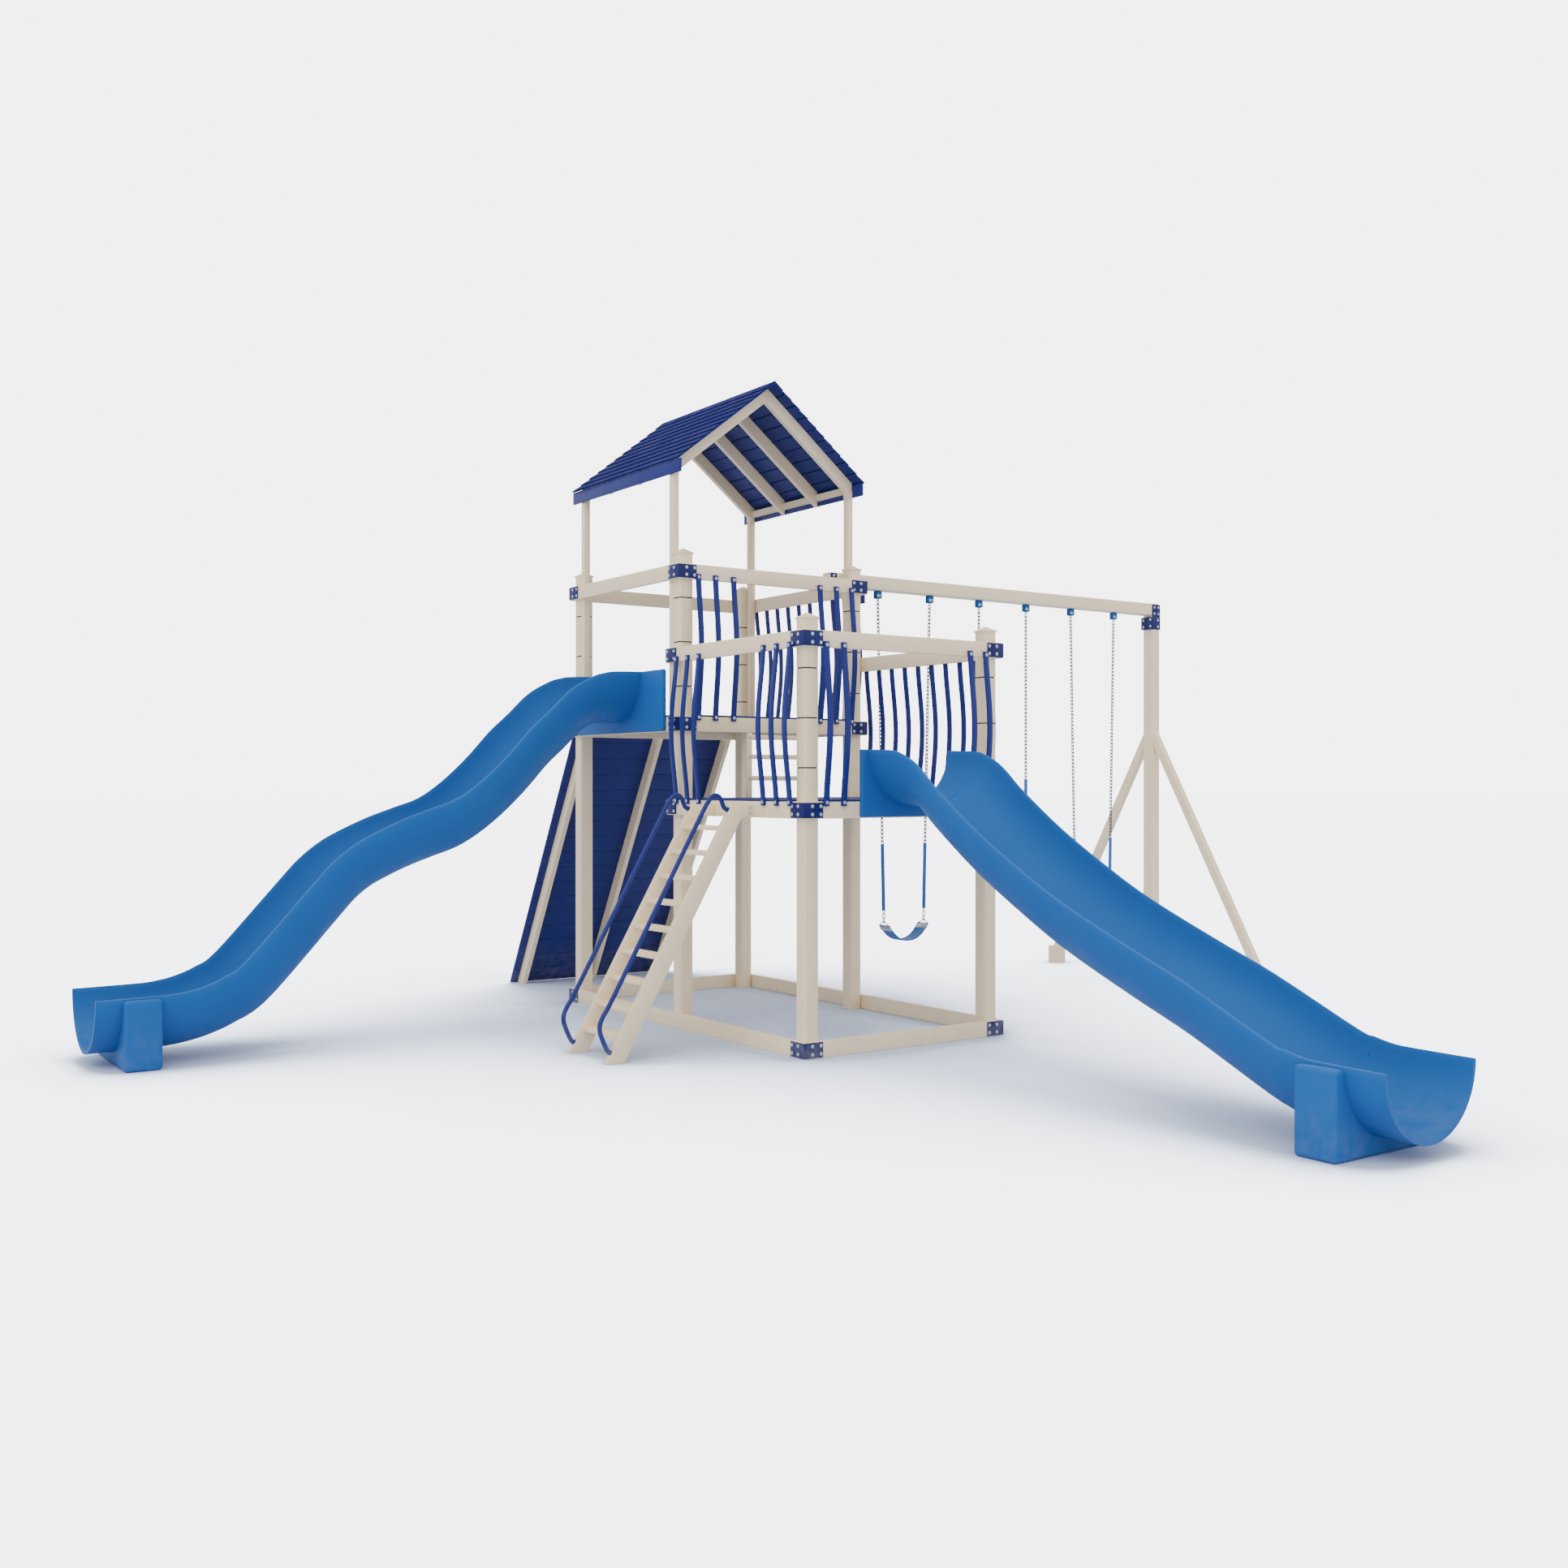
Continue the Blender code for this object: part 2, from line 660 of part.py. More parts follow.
# Ground beams
for side in ("front", "back", "left", "right"):
    xs, ys = rail_spans(side, -BAY - RAIL_OUT, BAY + RAIL_OUT)
    box_piece(f"ground_beam_{side}", cream, xs, ys, (0.0, GROUND_BEAM_TALL))

# Decks
near = HALF_POST + GAP
LOW_DECK = [
    (near, -FLOOR_OUT), (BAY - near, -FLOOR_OUT), (BAY - near, near), (BAY + FLOOR_OUT, near),
    (BAY + FLOOR_OUT, BAY - near), (BAY - near, BAY - near), (BAY - near, BAY + FLOOR_OUT),
    (near, BAY + FLOOR_OUT), (near, BAY - near), (-HALF_POST, BAY - near), (-HALF_POST, near),
    (near, near),
]
HIGH_DECK = [
    (-BAY + near, -FLOOR_OUT), (-near, -FLOOR_OUT), (-near, near), (FLOOR_OUT, near),
    (FLOOR_OUT, BAY - near), (-near, BAY - near), (-near, BAY + FLOOR_OUT),
    (-BAY + near, BAY + FLOOR_OUT), (-BAY + near, BAY - near), (-BAY - FLOOR_OUT, BAY - near),
    (-BAY - FLOOR_OUT, near), (-BAY + near, near),
]
deck("low_deck_floor", LOW_DECK, LOW_RIM_TOP, navy)
deck("high_deck_floor", HIGH_DECK, HIGH_RIM_TOP, navy)

# Low tower railings
low_ends = (-RAIL_OVERHANG, BAY + RAIL_OUT)
back_pickets = [(i - 4.5) * 0.1545 for i in range(10)]
railing(
    "low_railing_front", "front", *low_ends, LOW_RIM_TOP, both_sides(CENTRE, (0.40, 0.55, 0.70)), cream
)
railing("low_railing_right", "right", *low_ends, LOW_RIM_TOP, both_sides(CENTRE, (0.54, 0.68)), cream)
railing("low_railing_back", "back", *low_ends, LOW_RIM_TOP, [CENTRE + p for p in back_pickets], cream)

# High tower railings
high_ends = (-BAY - RAIL_OUT, RAIL_OUT)
beam_notch = (BEAM_X - HALF_POST - 2 * GAP, BEAM_X + HALF_POST + GAP, BEAM_Z[0] - GAP)
railing(
    "high_railing_right", "right", *high_ends, HIGH_RIM_TOP, both_sides(CENTRE, (0.39, 0.545, 0.69)),
    cream,
)
railing(
    "high_railing_back", "back", *high_ends, HIGH_RIM_TOP, [-CENTRE + p for p in back_pickets], cream,
    beam_notch,
)
for side in ("front", "left"):
    xs, ys = rail_spans(side, *high_ends)
    box_piece(f"high_rim_{side}", cream, xs, ys, (HIGH_RIM_TOP - RAIL_TALL, HIGH_RIM_TOP))
    high = HIGH_RIM_TOP + RAIL_RISE
    box_piece(f"high_top_rail_{side}", cream, xs, ys, (high - RAIL_TALL, high))

# Slides
chute(
    "scoop_slide", SCOOP_RIM, SCOOP_PANEL, SCOOP_FOOT, lambda u, a, z: (u, CENTRE + a, z), slide_blue
)
chute("wave_slide", WAVE_RIM, WAVE_PANEL, WAVE_FOOT, lambda u, a, z: (-CENTRE + a, -u, z), slide_blue)

# Ways up
ladder("ladder", cream)
handrail("ladder_handrail_left", LADDER_X - LADDER_SPREAD, navy)
handrail("ladder_handrail_right", LADDER_X + LADDER_SPREAD, navy)
step_ladder("step_ladder", cream)
climbing_wall(navy, cream)

# Roof
roof(navy, navy, cream)

# Swing frame; the beam stands clear of the back middle post
box_piece(
    "swing_beam", cream, (BEAM_X - HALF_POST - GAP, BEAM_X + HALF_POST - GAP), BEAM_ENDS, BEAM_Z
)
bm = bmesh.new()
add_loft(bm, [
    rounded_square(HALF_POST, POST_CORNER, 0.0, (BEAM_X, END_POST_Y)),
    rounded_square(HALF_POST, POST_CORNER, BEAM_Z[0] - GAP, (BEAM_X, END_POST_Y)),
])
stand("swing_end_post", bm, cream)
swing_brace("swing_brace_left", -1, cream)
swing_brace("swing_brace_right", 1, cream)
hanger_ys = [HANGER_FIRST + HANGER_STEP * i for i in range(6)]
for i, y in enumerate(hanger_ys):
    box_piece(
        f"swing_hanger_{i + 1}", slide_blue, (BEAM_X - HANGER_SIZE[0] / 2, BEAM_X + HANGER_SIZE[0] / 2),
        (y - HANGER_SIZE[1] / 2, y + HANGER_SIZE[1] / 2), (HANGER_BOTTOM, BEAM_Z[0] - GAP),
    )

# Swings
swing("near", hanger_ys[0:2], (1.930, 2.341), 0.635, (1.261, 0.730), "belt", steel, rubber)
swing("middle", hanger_ys[2:4], (2.942, 3.479), 1.2535, (1.780, 1.300), "bar", steel, slide_blue)
swing("far", hanger_ys[4:6], (4.075, 4.502), 0.635, (1.261, 0.730), "belt", steel, rubber)
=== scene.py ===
"""Finish and detail for the backyard playset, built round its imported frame.

Metres, +Z up, +X along the tower fronts, +Y along the swing beam.
"""

import math

import bmesh
import bpy
from mathutils import Matrix, Vector


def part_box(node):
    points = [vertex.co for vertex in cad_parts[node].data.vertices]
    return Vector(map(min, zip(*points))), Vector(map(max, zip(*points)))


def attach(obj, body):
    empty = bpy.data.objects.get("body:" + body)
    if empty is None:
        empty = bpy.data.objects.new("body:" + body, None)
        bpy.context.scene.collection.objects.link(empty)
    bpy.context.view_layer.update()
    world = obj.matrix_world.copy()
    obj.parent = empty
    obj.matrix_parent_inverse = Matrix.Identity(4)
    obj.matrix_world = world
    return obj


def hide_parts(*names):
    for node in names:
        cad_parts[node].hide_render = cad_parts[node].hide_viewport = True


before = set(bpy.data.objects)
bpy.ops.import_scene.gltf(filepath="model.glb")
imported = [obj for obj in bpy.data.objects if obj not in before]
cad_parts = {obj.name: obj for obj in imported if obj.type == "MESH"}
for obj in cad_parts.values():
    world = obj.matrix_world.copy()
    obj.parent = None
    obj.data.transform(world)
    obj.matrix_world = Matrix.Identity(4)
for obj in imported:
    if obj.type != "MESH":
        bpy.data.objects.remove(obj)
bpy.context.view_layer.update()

# Sizes shared with the frame
BAY = 1.524
CENTRE = BAY / 2
HALF_POST = 0.0535
RAIL_OUT = 0.0845
RAIL_TALL = 0.108
RAIL_THICK = 0.0307
HALF_RAIL = RAIL_TALL / 2
LOW_RIM = 1.625
HIGH_RIM = 2.222
RAIL_RISE = 1.09
BEAM_X = -0.107
BEAM_LOW = 3.2697
PIVOT_Z = 3.195
RIDGE_Z = 4.737

BODY = "playset"


# ---------------------------------------------------------------- shader groups


def new_group(name, inputs, outputs):
    tree = bpy.data.node_groups.new(name, "ShaderNodeTree")
    for label, kind, value in inputs:
        socket = tree.interface.new_socket(label, in_out="INPUT", socket_type=kind)
        socket.default_value = value
    for label, kind in outputs:
        tree.interface.new_socket(label, in_out="OUTPUT", socket_type=kind)
    return tree, tree.nodes.new("NodeGroupInput"), tree.nodes.new("NodeGroupOutput")


def noise(tree, vector, scale, detail=4.0, rough=0.55):
    node = tree.nodes.new("ShaderNodeTexNoise")
    node.inputs["Detail"].default_value = detail
    node.inputs["Roughness"].default_value = rough
    tree.links.new(vector, node.inputs["Vector"])
    if isinstance(scale, float):
        node.inputs["Scale"].default_value = scale
    else:
        tree.links.new(scale, node.inputs["Scale"])
    return node.outputs["Fac"]


def remap(tree, value, low, high, to_low, to_high):
    node = tree.nodes.new("ShaderNodeMapRange")
    for label, amount in (
        ("From Min", low), ("From Max", high), ("To Min", to_low), ("To Max", to_high)
    ):
        if isinstance(amount, float):
            node.inputs[label].default_value = amount
        else:
            tree.links.new(amount, node.inputs[label])
    tree.links.new(value, node.inputs["Value"])
    return node.outputs["Result"]


def multiply(tree, a, b):
    node = tree.nodes.new("ShaderNodeMath")
    node.operation = "MULTIPLY"
    tree.links.new(a, node.inputs[0])
    tree.links.new(b, node.inputs[1])
    return node.outputs["Value"]


def blend_colour(tree, factor, a, b):
    node = tree.nodes.new("ShaderNodeMix")
    node.data_type = "RGBA"
    tree.links.new(factor, node.inputs[0])
    for socket, value in ((node.inputs[6], a), (node.inputs[7], b)):
        if isinstance(value, tuple):
            socket.default_value = value
        else:
            tree.links.new(value, socket)
    return node.outputs[2]


def build_uneven_colour():
    """Slow tone drift, fine speckle and a dusty band near the ground."""
    tree, source, out = new_group(
        "uneven_colour",
        [
            ("Colour", "NodeSocketColor", (0.5, 0.5, 0.5, 1)),
            ("Deep", "NodeSocketColor", (0.4, 0.4, 0.4, 1)),
            ("Dust", "NodeSocketColor", (0.5, 0.46, 0.4, 1)),
            ("Drift Scale", "NodeSocketFloat", 2.0),
            ("Speckle Scale", "NodeSocketFloat", 180.0),
            ("Dust Amount", "NodeSocketFloat", 0.3),
        ],
        [("Colour", "NodeSocketColor"), ("Mask", "NodeSocketFloat")],
    )
    place = tree.nodes.new("ShaderNodeTexCoord").outputs["Object"]
    drift = noise(tree, place, source.outputs["Drift Scale"], 3.0)
    speckle = noise(tree, place, source.outputs["Speckle Scale"], 2.0)
    wide = remap(tree, drift, 0.3, 0.7, 0.0, 1.0)
    both = multiply(tree, wide, remap(tree, speckle, 0.3, 0.7, 0.5, 1.0))
    toned = blend_colour(tree, both, source.outputs["Colour"], source.outputs["Deep"])
    split = tree.nodes.new("ShaderNodeSeparateXYZ")
    tree.links.new(place, split.inputs[0])
    low = remap(tree, split.outputs["Z"], 0.0, 0.35, 1.0, 0.0)
    patch = remap(tree, noise(tree, place, 14.0, 5.0), 0.35, 0.75, 0.0, 1.0)
    dust = multiply(tree, multiply(tree, low, patch), source.outputs["Dust Amount"])
    tree.links.new(blend_colour(tree, dust, toned, source.outputs["Dust"]), out.inputs["Colour"])
    tree.links.new(both, out.inputs["Mask"])
    return tree


def build_moulded_skin():
    """Orange-peel bump of moulded plastic with a few fine scuffs, and roughness that varies in broad
    patches.
    """
    tree, source, out = new_group(
        "moulded_skin",
        [
            ("Peel Scale", "NodeSocketFloat", 260.0),
            ("Peel Depth", "NodeSocketFloat", 0.1),
            ("Scuff Depth", "NodeSocketFloat", 0.05),
            ("Smooth", "NodeSocketFloat", 0.3),
            ("Dull", "NodeSocketFloat", 0.45),
        ],
        [("Roughness", "NodeSocketFloat"), ("Normal", "NodeSocketVector")],
    )
    place = tree.nodes.new("ShaderNodeTexCoord").outputs["Object"]
    peel = noise(tree, place, source.outputs["Peel Scale"], 2.0)
    stretch = tree.nodes.new("ShaderNodeMapping")
    stretch.inputs["Scale"].default_value = (3.0, 3.0, 60.0)
    stretch.inputs["Rotation"].default_value = (0.5, 0.8, 0.3)
    tree.links.new(place, stretch.inputs["Vector"])
    scuff = remap(tree, noise(tree, stretch.outputs["Vector"], 5.0, 6.0, 0.7), 0.62, 0.70, 0.0, 1.0)
    first = tree.nodes.new("ShaderNodeBump")
    first.inputs["Distance"].default_value = 0.0006
    tree.links.new(source.outputs["Peel Depth"], first.inputs["Strength"])
    tree.links.new(peel, first.inputs["Height"])
    second = tree.nodes.new("ShaderNodeBump")
    second.inputs["Distance"].default_value = 0.0004
    tree.links.new(source.outputs["Scuff Depth"], second.inputs["Strength"])
    tree.links.new(scuff, second.inputs["Height"])
    tree.links.new(first.outputs["Normal"], second.inputs["Normal"])
    patch = remap(
        tree, noise(tree, place, 3.5, 5.0), 0.3, 0.7, source.outputs["Smooth"], source.outputs["Dull"]
    )
    tree.links.new(patch, out.inputs["Roughness"])
    tree.links.new(second.outputs["Normal"], out.inputs["Normal"])
    return tree


def build_board_grain():
    """Long streaks pressed into plastic boards, running along one axis."""
    tree, source, out = new_group(
        "board_grain",
        [
            ("Stretch", "NodeSocketVector", (1.0, 30.0, 30.0)),
            ("Depth", "NodeSocketFloat", 0.2),
            ("Normal", "NodeSocketVector", (0.0, 0.0, 0.0)),
        ],
        [("Streak", "NodeSocketFloat"), ("Normal", "NodeSocketVector")],
    )
    place = tree.nodes.new("ShaderNodeTexCoord").outputs["Object"]
    stretch = tree.nodes.new("ShaderNodeMapping")
    tree.links.new(place, stretch.inputs["Vector"])
    tree.links.new(source.outputs["Stretch"], stretch.inputs["Scale"])
    streak = noise(tree, stretch.outputs["Vector"], 6.0, 6.0, 0.6)
    bump = tree.nodes.new("ShaderNodeBump")
    bump.inputs["Distance"].default_value = 0.001
    tree.links.new(source.outputs["Depth"], bump.inputs["Strength"])
    tree.links.new(streak, bump.inputs["Height"])
    tree.links.new(source.outputs["Normal"], bump.inputs["Normal"])
    tree.links.new(streak, out.inputs["Streak"])
    tree.links.new(bump.outputs["Normal"], out.inputs["Normal"])
    return tree


uneven_colour = build_uneven_colour()
moulded_skin = build_moulded_skin()
board_grain = build_board_grain()


# -------------------------------------------------------------------- materials


def rgb(red, green, blue):
    """Display colour from 0 to 255 as a linear shader colour."""
    out = []
    for value in (red, green, blue):
        c = value / 255
        out.append(((c + 0.055) / 1.055) ** 2.4 if c > 0.04045 else c / 12.92)
    return (*out, 1.0)


def place_group(tree, group, values):
    node = tree.nodes.new("ShaderNodeGroup")
    node.node_tree = group
    for label, value in values.items():
        node.inputs[label].default_value = value
    return node


def finish_material(
    name, colour, deep, skin, drift=2.0, speckle=180.0, dust=0.25, metallic=0.0, grain=None,
    gloss=0.5,
):
    """Principled finish fed by the shared groups; skin is (scale, peel, scuff, smooth, dull)."""
    made = bpy.data.materials.new(name)
    made.use_nodes = True
    tree = made.node_tree
    shader = tree.nodes["Principled BSDF"]
    tone = place_group(tree, uneven_colour, {
        "Colour": colour, "Deep": deep, "Dust": rgb(190, 182, 168), "Drift Scale": drift,
        "Speckle Scale": speckle, "Dust Amount": dust,
    })
    peel = place_group(tree, moulded_skin, dict(zip(
        ("Peel Scale", "Peel Depth", "Scuff Depth", "Smooth", "Dull"), skin)))
    tree.links.new(tone.outputs["Colour"], shader.inputs["Base Color"])
    tree.links.new(peel.outputs["Roughness"], shader.inputs["Roughness"])
    normal = peel.outputs["Normal"]
    if grain:
        board = place_group(tree, board_grain, {"Stretch": grain[0], "Depth": grain[1]})
        tree.links.new(normal, board.inputs["Normal"])
        normal = board.outputs["Normal"]
        shade = remap(tree, board.outputs["Streak"], 0.35, 0.7, 0.0, grain[2])
        streaked = blend_colour(tree, shade, tone.outputs["Colour"], deep)
        tree.links.new(streaked, shader.inputs["Base Color"])
    tree.links.new(normal, shader.inputs["Normal"])
    shader.inputs["Metallic"].default_value = metallic
    shader.inputs["Specular IOR Level"].default_value = gloss
    return made


cream = finish_material(
    "cream_vinyl", rgb(250, 228, 190), rgb(243, 220, 180), (420.0, 0.10, 0.05, 0.38, 0.50), 1.6,
    gloss=0.35,
)
# Painted shadow: dark brown-grey finish for the post groove faces, standing in for the shade inside the
# grooves.
groove_painted_shadow = finish_material(
    "groove_painted_shadow", rgb(84, 72, 62), rgb(70, 60, 52), (420.0, 0.10, 0.05, 0.7, 0.8), 1.6, gloss=0.05,
)
navy = finish_material(
    "navy_plastic", rgb(29, 39, 116), rgb(25, 34, 104), (300.0, 0.16, 0.05, 0.36, 0.50), 3.0,
    gloss=0.25,
)
navy_bracket = finish_material(
    "navy_powder_coat", rgb(20, 28, 92), rgb(18, 25, 84), (900.0, 0.20, 0.05, 0.34, 0.46), 6.0,
    gloss=0.25,
)
navy_deck = finish_material(
    "navy_deck_board", rgb(36, 46, 116), rgb(28, 36, 96), (300.0, 0.12, 0.1, 0.42, 0.6), 2.0,
    grain=((1.0, 28.0, 28.0), 0.5, 0.6), gloss=0.25,
)
navy_wall = finish_material(
    "navy_wall_board", rgb(38, 48, 116), rgb(31, 39, 100), (300.0, 0.12, 0.1, 0.42, 0.6), 2.0,
    grain=((28.0, 1.0, 28.0), 0.5, 0.6), gloss=0.25,
)
slide_blue = finish_material(
    "slide_blue", rgb(36, 95, 163), rgb(32, 89, 156), (240.0, 0.12, 0.10, 0.42, 0.56), 1.2, dust=0.08,
    gloss=0.12,
)
zinc = finish_material(
    "zinc_bolt", rgb(205, 208, 214), rgb(180, 184, 192), (700.0, 0.15, 0.2, 0.28, 0.42), 40.0,
    metallic=0.6,
)
chain_steel = finish_material(
    "galvanised_chain", rgb(104, 106, 112), rgb(78, 80, 86), (600.0, 0.3, 0.3, 0.3, 0.5), 60.0,
    metallic=0.45,
)
belt_blue = finish_material(
    "belt_rubber", rgb(38, 104, 176), rgb(30, 88, 156), (500.0, 0.35, 0.15, 0.45, 0.62), 8.0
)


def build_shingle():
    """Navy shingles, each tab a slightly different tone with a coarse grit."""
    made = finish_material(
        "navy_shingle", rgb(25, 32, 104), rgb(20, 27, 90), (520.0, 0.45, 0.1, 0.55, 0.72), 4.0,
        dust=0.0, gloss=0.04,
    )
    tree = made.node_tree
    shader = tree.nodes["Principled BSDF"]
    tone = shader.inputs["Base Color"].links[0].from_socket
    place = tree.nodes.new("ShaderNodeTexCoord").outputs["Object"]
    snap = tree.nodes.new("ShaderNodeVectorMath")
    snap.operation = "SNAP"
    snap.inputs[1].default_value = (0.2, 0.077, 0.0605)
    tree.links.new(place, snap.inputs[0])
    pick = tree.nodes.new("ShaderNodeTexWhiteNoise")
    tree.links.new(snap.outputs["Vector"], pick.inputs["Vector"])
    amount = remap(tree, pick.outputs["Value"], 0.0, 1.0, 0.0, 0.55)
    tree.links.new(
        blend_colour(tree, amount, tone, rgb(19, 26, 86)), shader.inputs["Base Color"]
    )
    return made


shingle = build_shingle()


# ------------------------------------------------------------------ shop tools


def deselect():
    bpy.ops.object.select_all(action="DESELECT")


def take(obj):
    deselect()
    obj.select_set(True)
    bpy.context.view_layer.objects.active = obj


def active():
    return bpy.context.view_layer.objects.active


def edit_edges(obj, wanted, offset, segments):
    """Rounds the edges for which wanted(a, b) is true."""
    take(obj)
    bpy.ops.object.mode_set(mode="EDIT")
    bpy.ops.mesh.select_mode(type="EDGE")
    bpy.ops.mesh.select_all(action="DESELECT")
    mesh = bmesh.from_edit_mesh(obj.data)
    for edge in mesh.edges:
        a, b = (v.co for v in edge.verts)
        edge.select_set(wanted(a, b))
    bmesh.update_edit_mesh(obj.data)
    bpy.ops.mesh.bevel(offset=offset, segments=segments, affect="EDGES")
    bpy.ops.object.mode_set(mode="OBJECT")


def add_block(xs, ys, zs, material, edge=0.003, segments=2):
    """Box between limits with all its edges rounded."""
    deselect()
    middle = ((xs[0] + xs[1]) / 2, (ys[0] + ys[1]) / 2, (zs[0] + zs[1]) / 2)
    bpy.ops.mesh.primitive_cube_add(size=1, location=middle)
    obj = active()
    obj.scale = (xs[1] - xs[0], ys[1] - ys[0], zs[1] - zs[0])
    bpy.ops.object.transform_apply(location=True, rotation=True, scale=True)
    bpy.ops.object.mode_set(mode="EDIT")
    bpy.ops.mesh.select_all(action="SELECT")
    bpy.ops.mesh.bevel(offset=edge, segments=segments, affect="EDGES")
    bpy.ops.object.mode_set(mode="OBJECT")
    obj.data.materials.append(material)
    return obj


def add_turned(radius, length, at, axis, material, edge, sides=16):
    """Round bar or bolt head along an axis, with rounded rims."""
    deselect()
    bpy.ops.mesh.primitive_cylinder_add(vertices=sides, radius=radius, depth=length)
    obj = active()
    edit_edges(obj, lambda a, b: abs(a.z - b.z) < 1e-6, edge, 2)
    turn = Vector((0, 0, 1)).rotation_difference(Vector(axis)).to_matrix().to_4x4()
    obj.data.transform(Matrix.Translation(at) @ turn)
    obj.data.materials.append(material)
    return obj


def add_skin(rings, material, closed_ends=True):
    """Skin over rings of points, for swept and sawn shapes."""
    mesh = bmesh.new()
    rows = [[mesh.verts.new(p) for p in ring] for ring in rings]
    count = len(rows[0])
    for low, high in zip(rows, rows[1:]):
        for i in range(count):
            j = (i + 1) % count
            mesh.faces.new((low[i], low[j], high[j], high[i]))
    if closed_ends:
        mesh.faces.new(list(reversed(rows[0])))
        mesh.faces.new(rows[-1])
    bmesh.ops.recalc_face_normals(mesh, faces=mesh.faces)
    data = bpy.data.meshes.new("sawn")
    mesh.to_mesh(data)
    mesh.free()
    obj = bpy.data.objects.new("sawn", data)
    bpy.context.scene.collection.objects.link(obj)
    data.materials.append(material)
    return obj


def add_sawn(outline, axis, low, high, material, edge=0.003):
    """Board sawn to an outline, with rounded edges."""
    rings = []
    for along in (low, high):
        if axis == "X":
            rings.append([(along, a, b) for a, b in outline])
        else:
            rings.append([(a, along, b) for a, b in outline])
    obj = add_skin(rings, material)
    take(obj)
    bpy.ops.object.mode_set(mode="EDIT")
    bpy.ops.mesh.select_all(action="SELECT")
    bpy.ops.mesh.bevel(offset=edge, segments=2, affect="EDGES")
    bpy.ops.object.mode_set(mode="OBJECT")
    return obj


def copy_of(obj, matrix):
    made = obj.copy()
    made.data = obj.data.copy()
    made.data.transform(matrix)
    bpy.context.scene.collection.objects.link(made)
    return made


def discard(*objs):
    for obj in objs:
        bpy.data.objects.remove(obj)


def assemble(name, parts, body=BODY, replaces=(), angle=35):
    """Joins loose parts into one named piece and hangs it on its body."""
    take(parts[0])
    for part in parts[1:]:
        part.select_set(True)
    if len(parts) > 1:
        bpy.ops.object.join()
    obj = active()
    obj.name = name
    obj.data.name = name
    bpy.ops.object.shade_smooth_by_angle(angle=math.radians(angle))
    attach(obj, body)
    if replaces:
        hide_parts(*replaces)
    return obj


def turned_to(angle_z, x=0.0, y=0.0, z=0.0):
    return Matrix.Translation((x, y, z)) @ Matrix.Rotation(math.radians(angle_z), 4, "Z")


def smooth_path(points, per_span):
    out = []
    last = len(points) - 1
    for i in range(last):
        p0 = Vector(points[max(i - 1, 0)])
        p1 = Vector(points[i])
        p2 = Vector(points[i + 1])
        p3 = Vector(points[min(i + 2, last)])
        for k in range(per_span):
            t = k / per_span
            out.append(
                0.5 * (2 * p1 + (p2 - p0) * t + (2 * p0 - 5 * p1 + 4 * p2 - p3) * t * t
                       + (3 * p1 - p0 - 3 * p2 + p3) * t * t * t)
            )
    out.append(Vector(points[last]))
    return out


def side_normals(path):
    spans = [(b - a).normalized() for a, b in zip(path, path[1:])]
    out = []
    for i in range(len(path)):
        before = spans[max(i - 1, 0)]
        after = spans[min(i, len(spans) - 1)]
        mean = (before + after).normalized()
        out.append(Vector((-mean[1], mean[0])) / mean.dot(after))
    return out


# ---------------------------------------------------------------------- bolts

bolt_head = add_turned(0.0085, 0.006, (0, 0, 0.004), (0, 0, 1), zinc, 0.002, 12)
bolt_washer = add_turned(0.012, 0.0022, (0, 0, 0.0011), (0, 0, 1), zinc, 0.0006, 16)
take(bolt_head)
bolt_washer.select_set(True)
bpy.ops.object.join()
bolt = active()


def bolt_at(at, axis):
    turn = Vector((0, 0, 1)).rotation_difference(Vector(axis)).to_matrix().to_4x4()
    return copy_of(bolt, Matrix.Translation(at) @ turn)


# ---------------------------------------------------------------------- posts


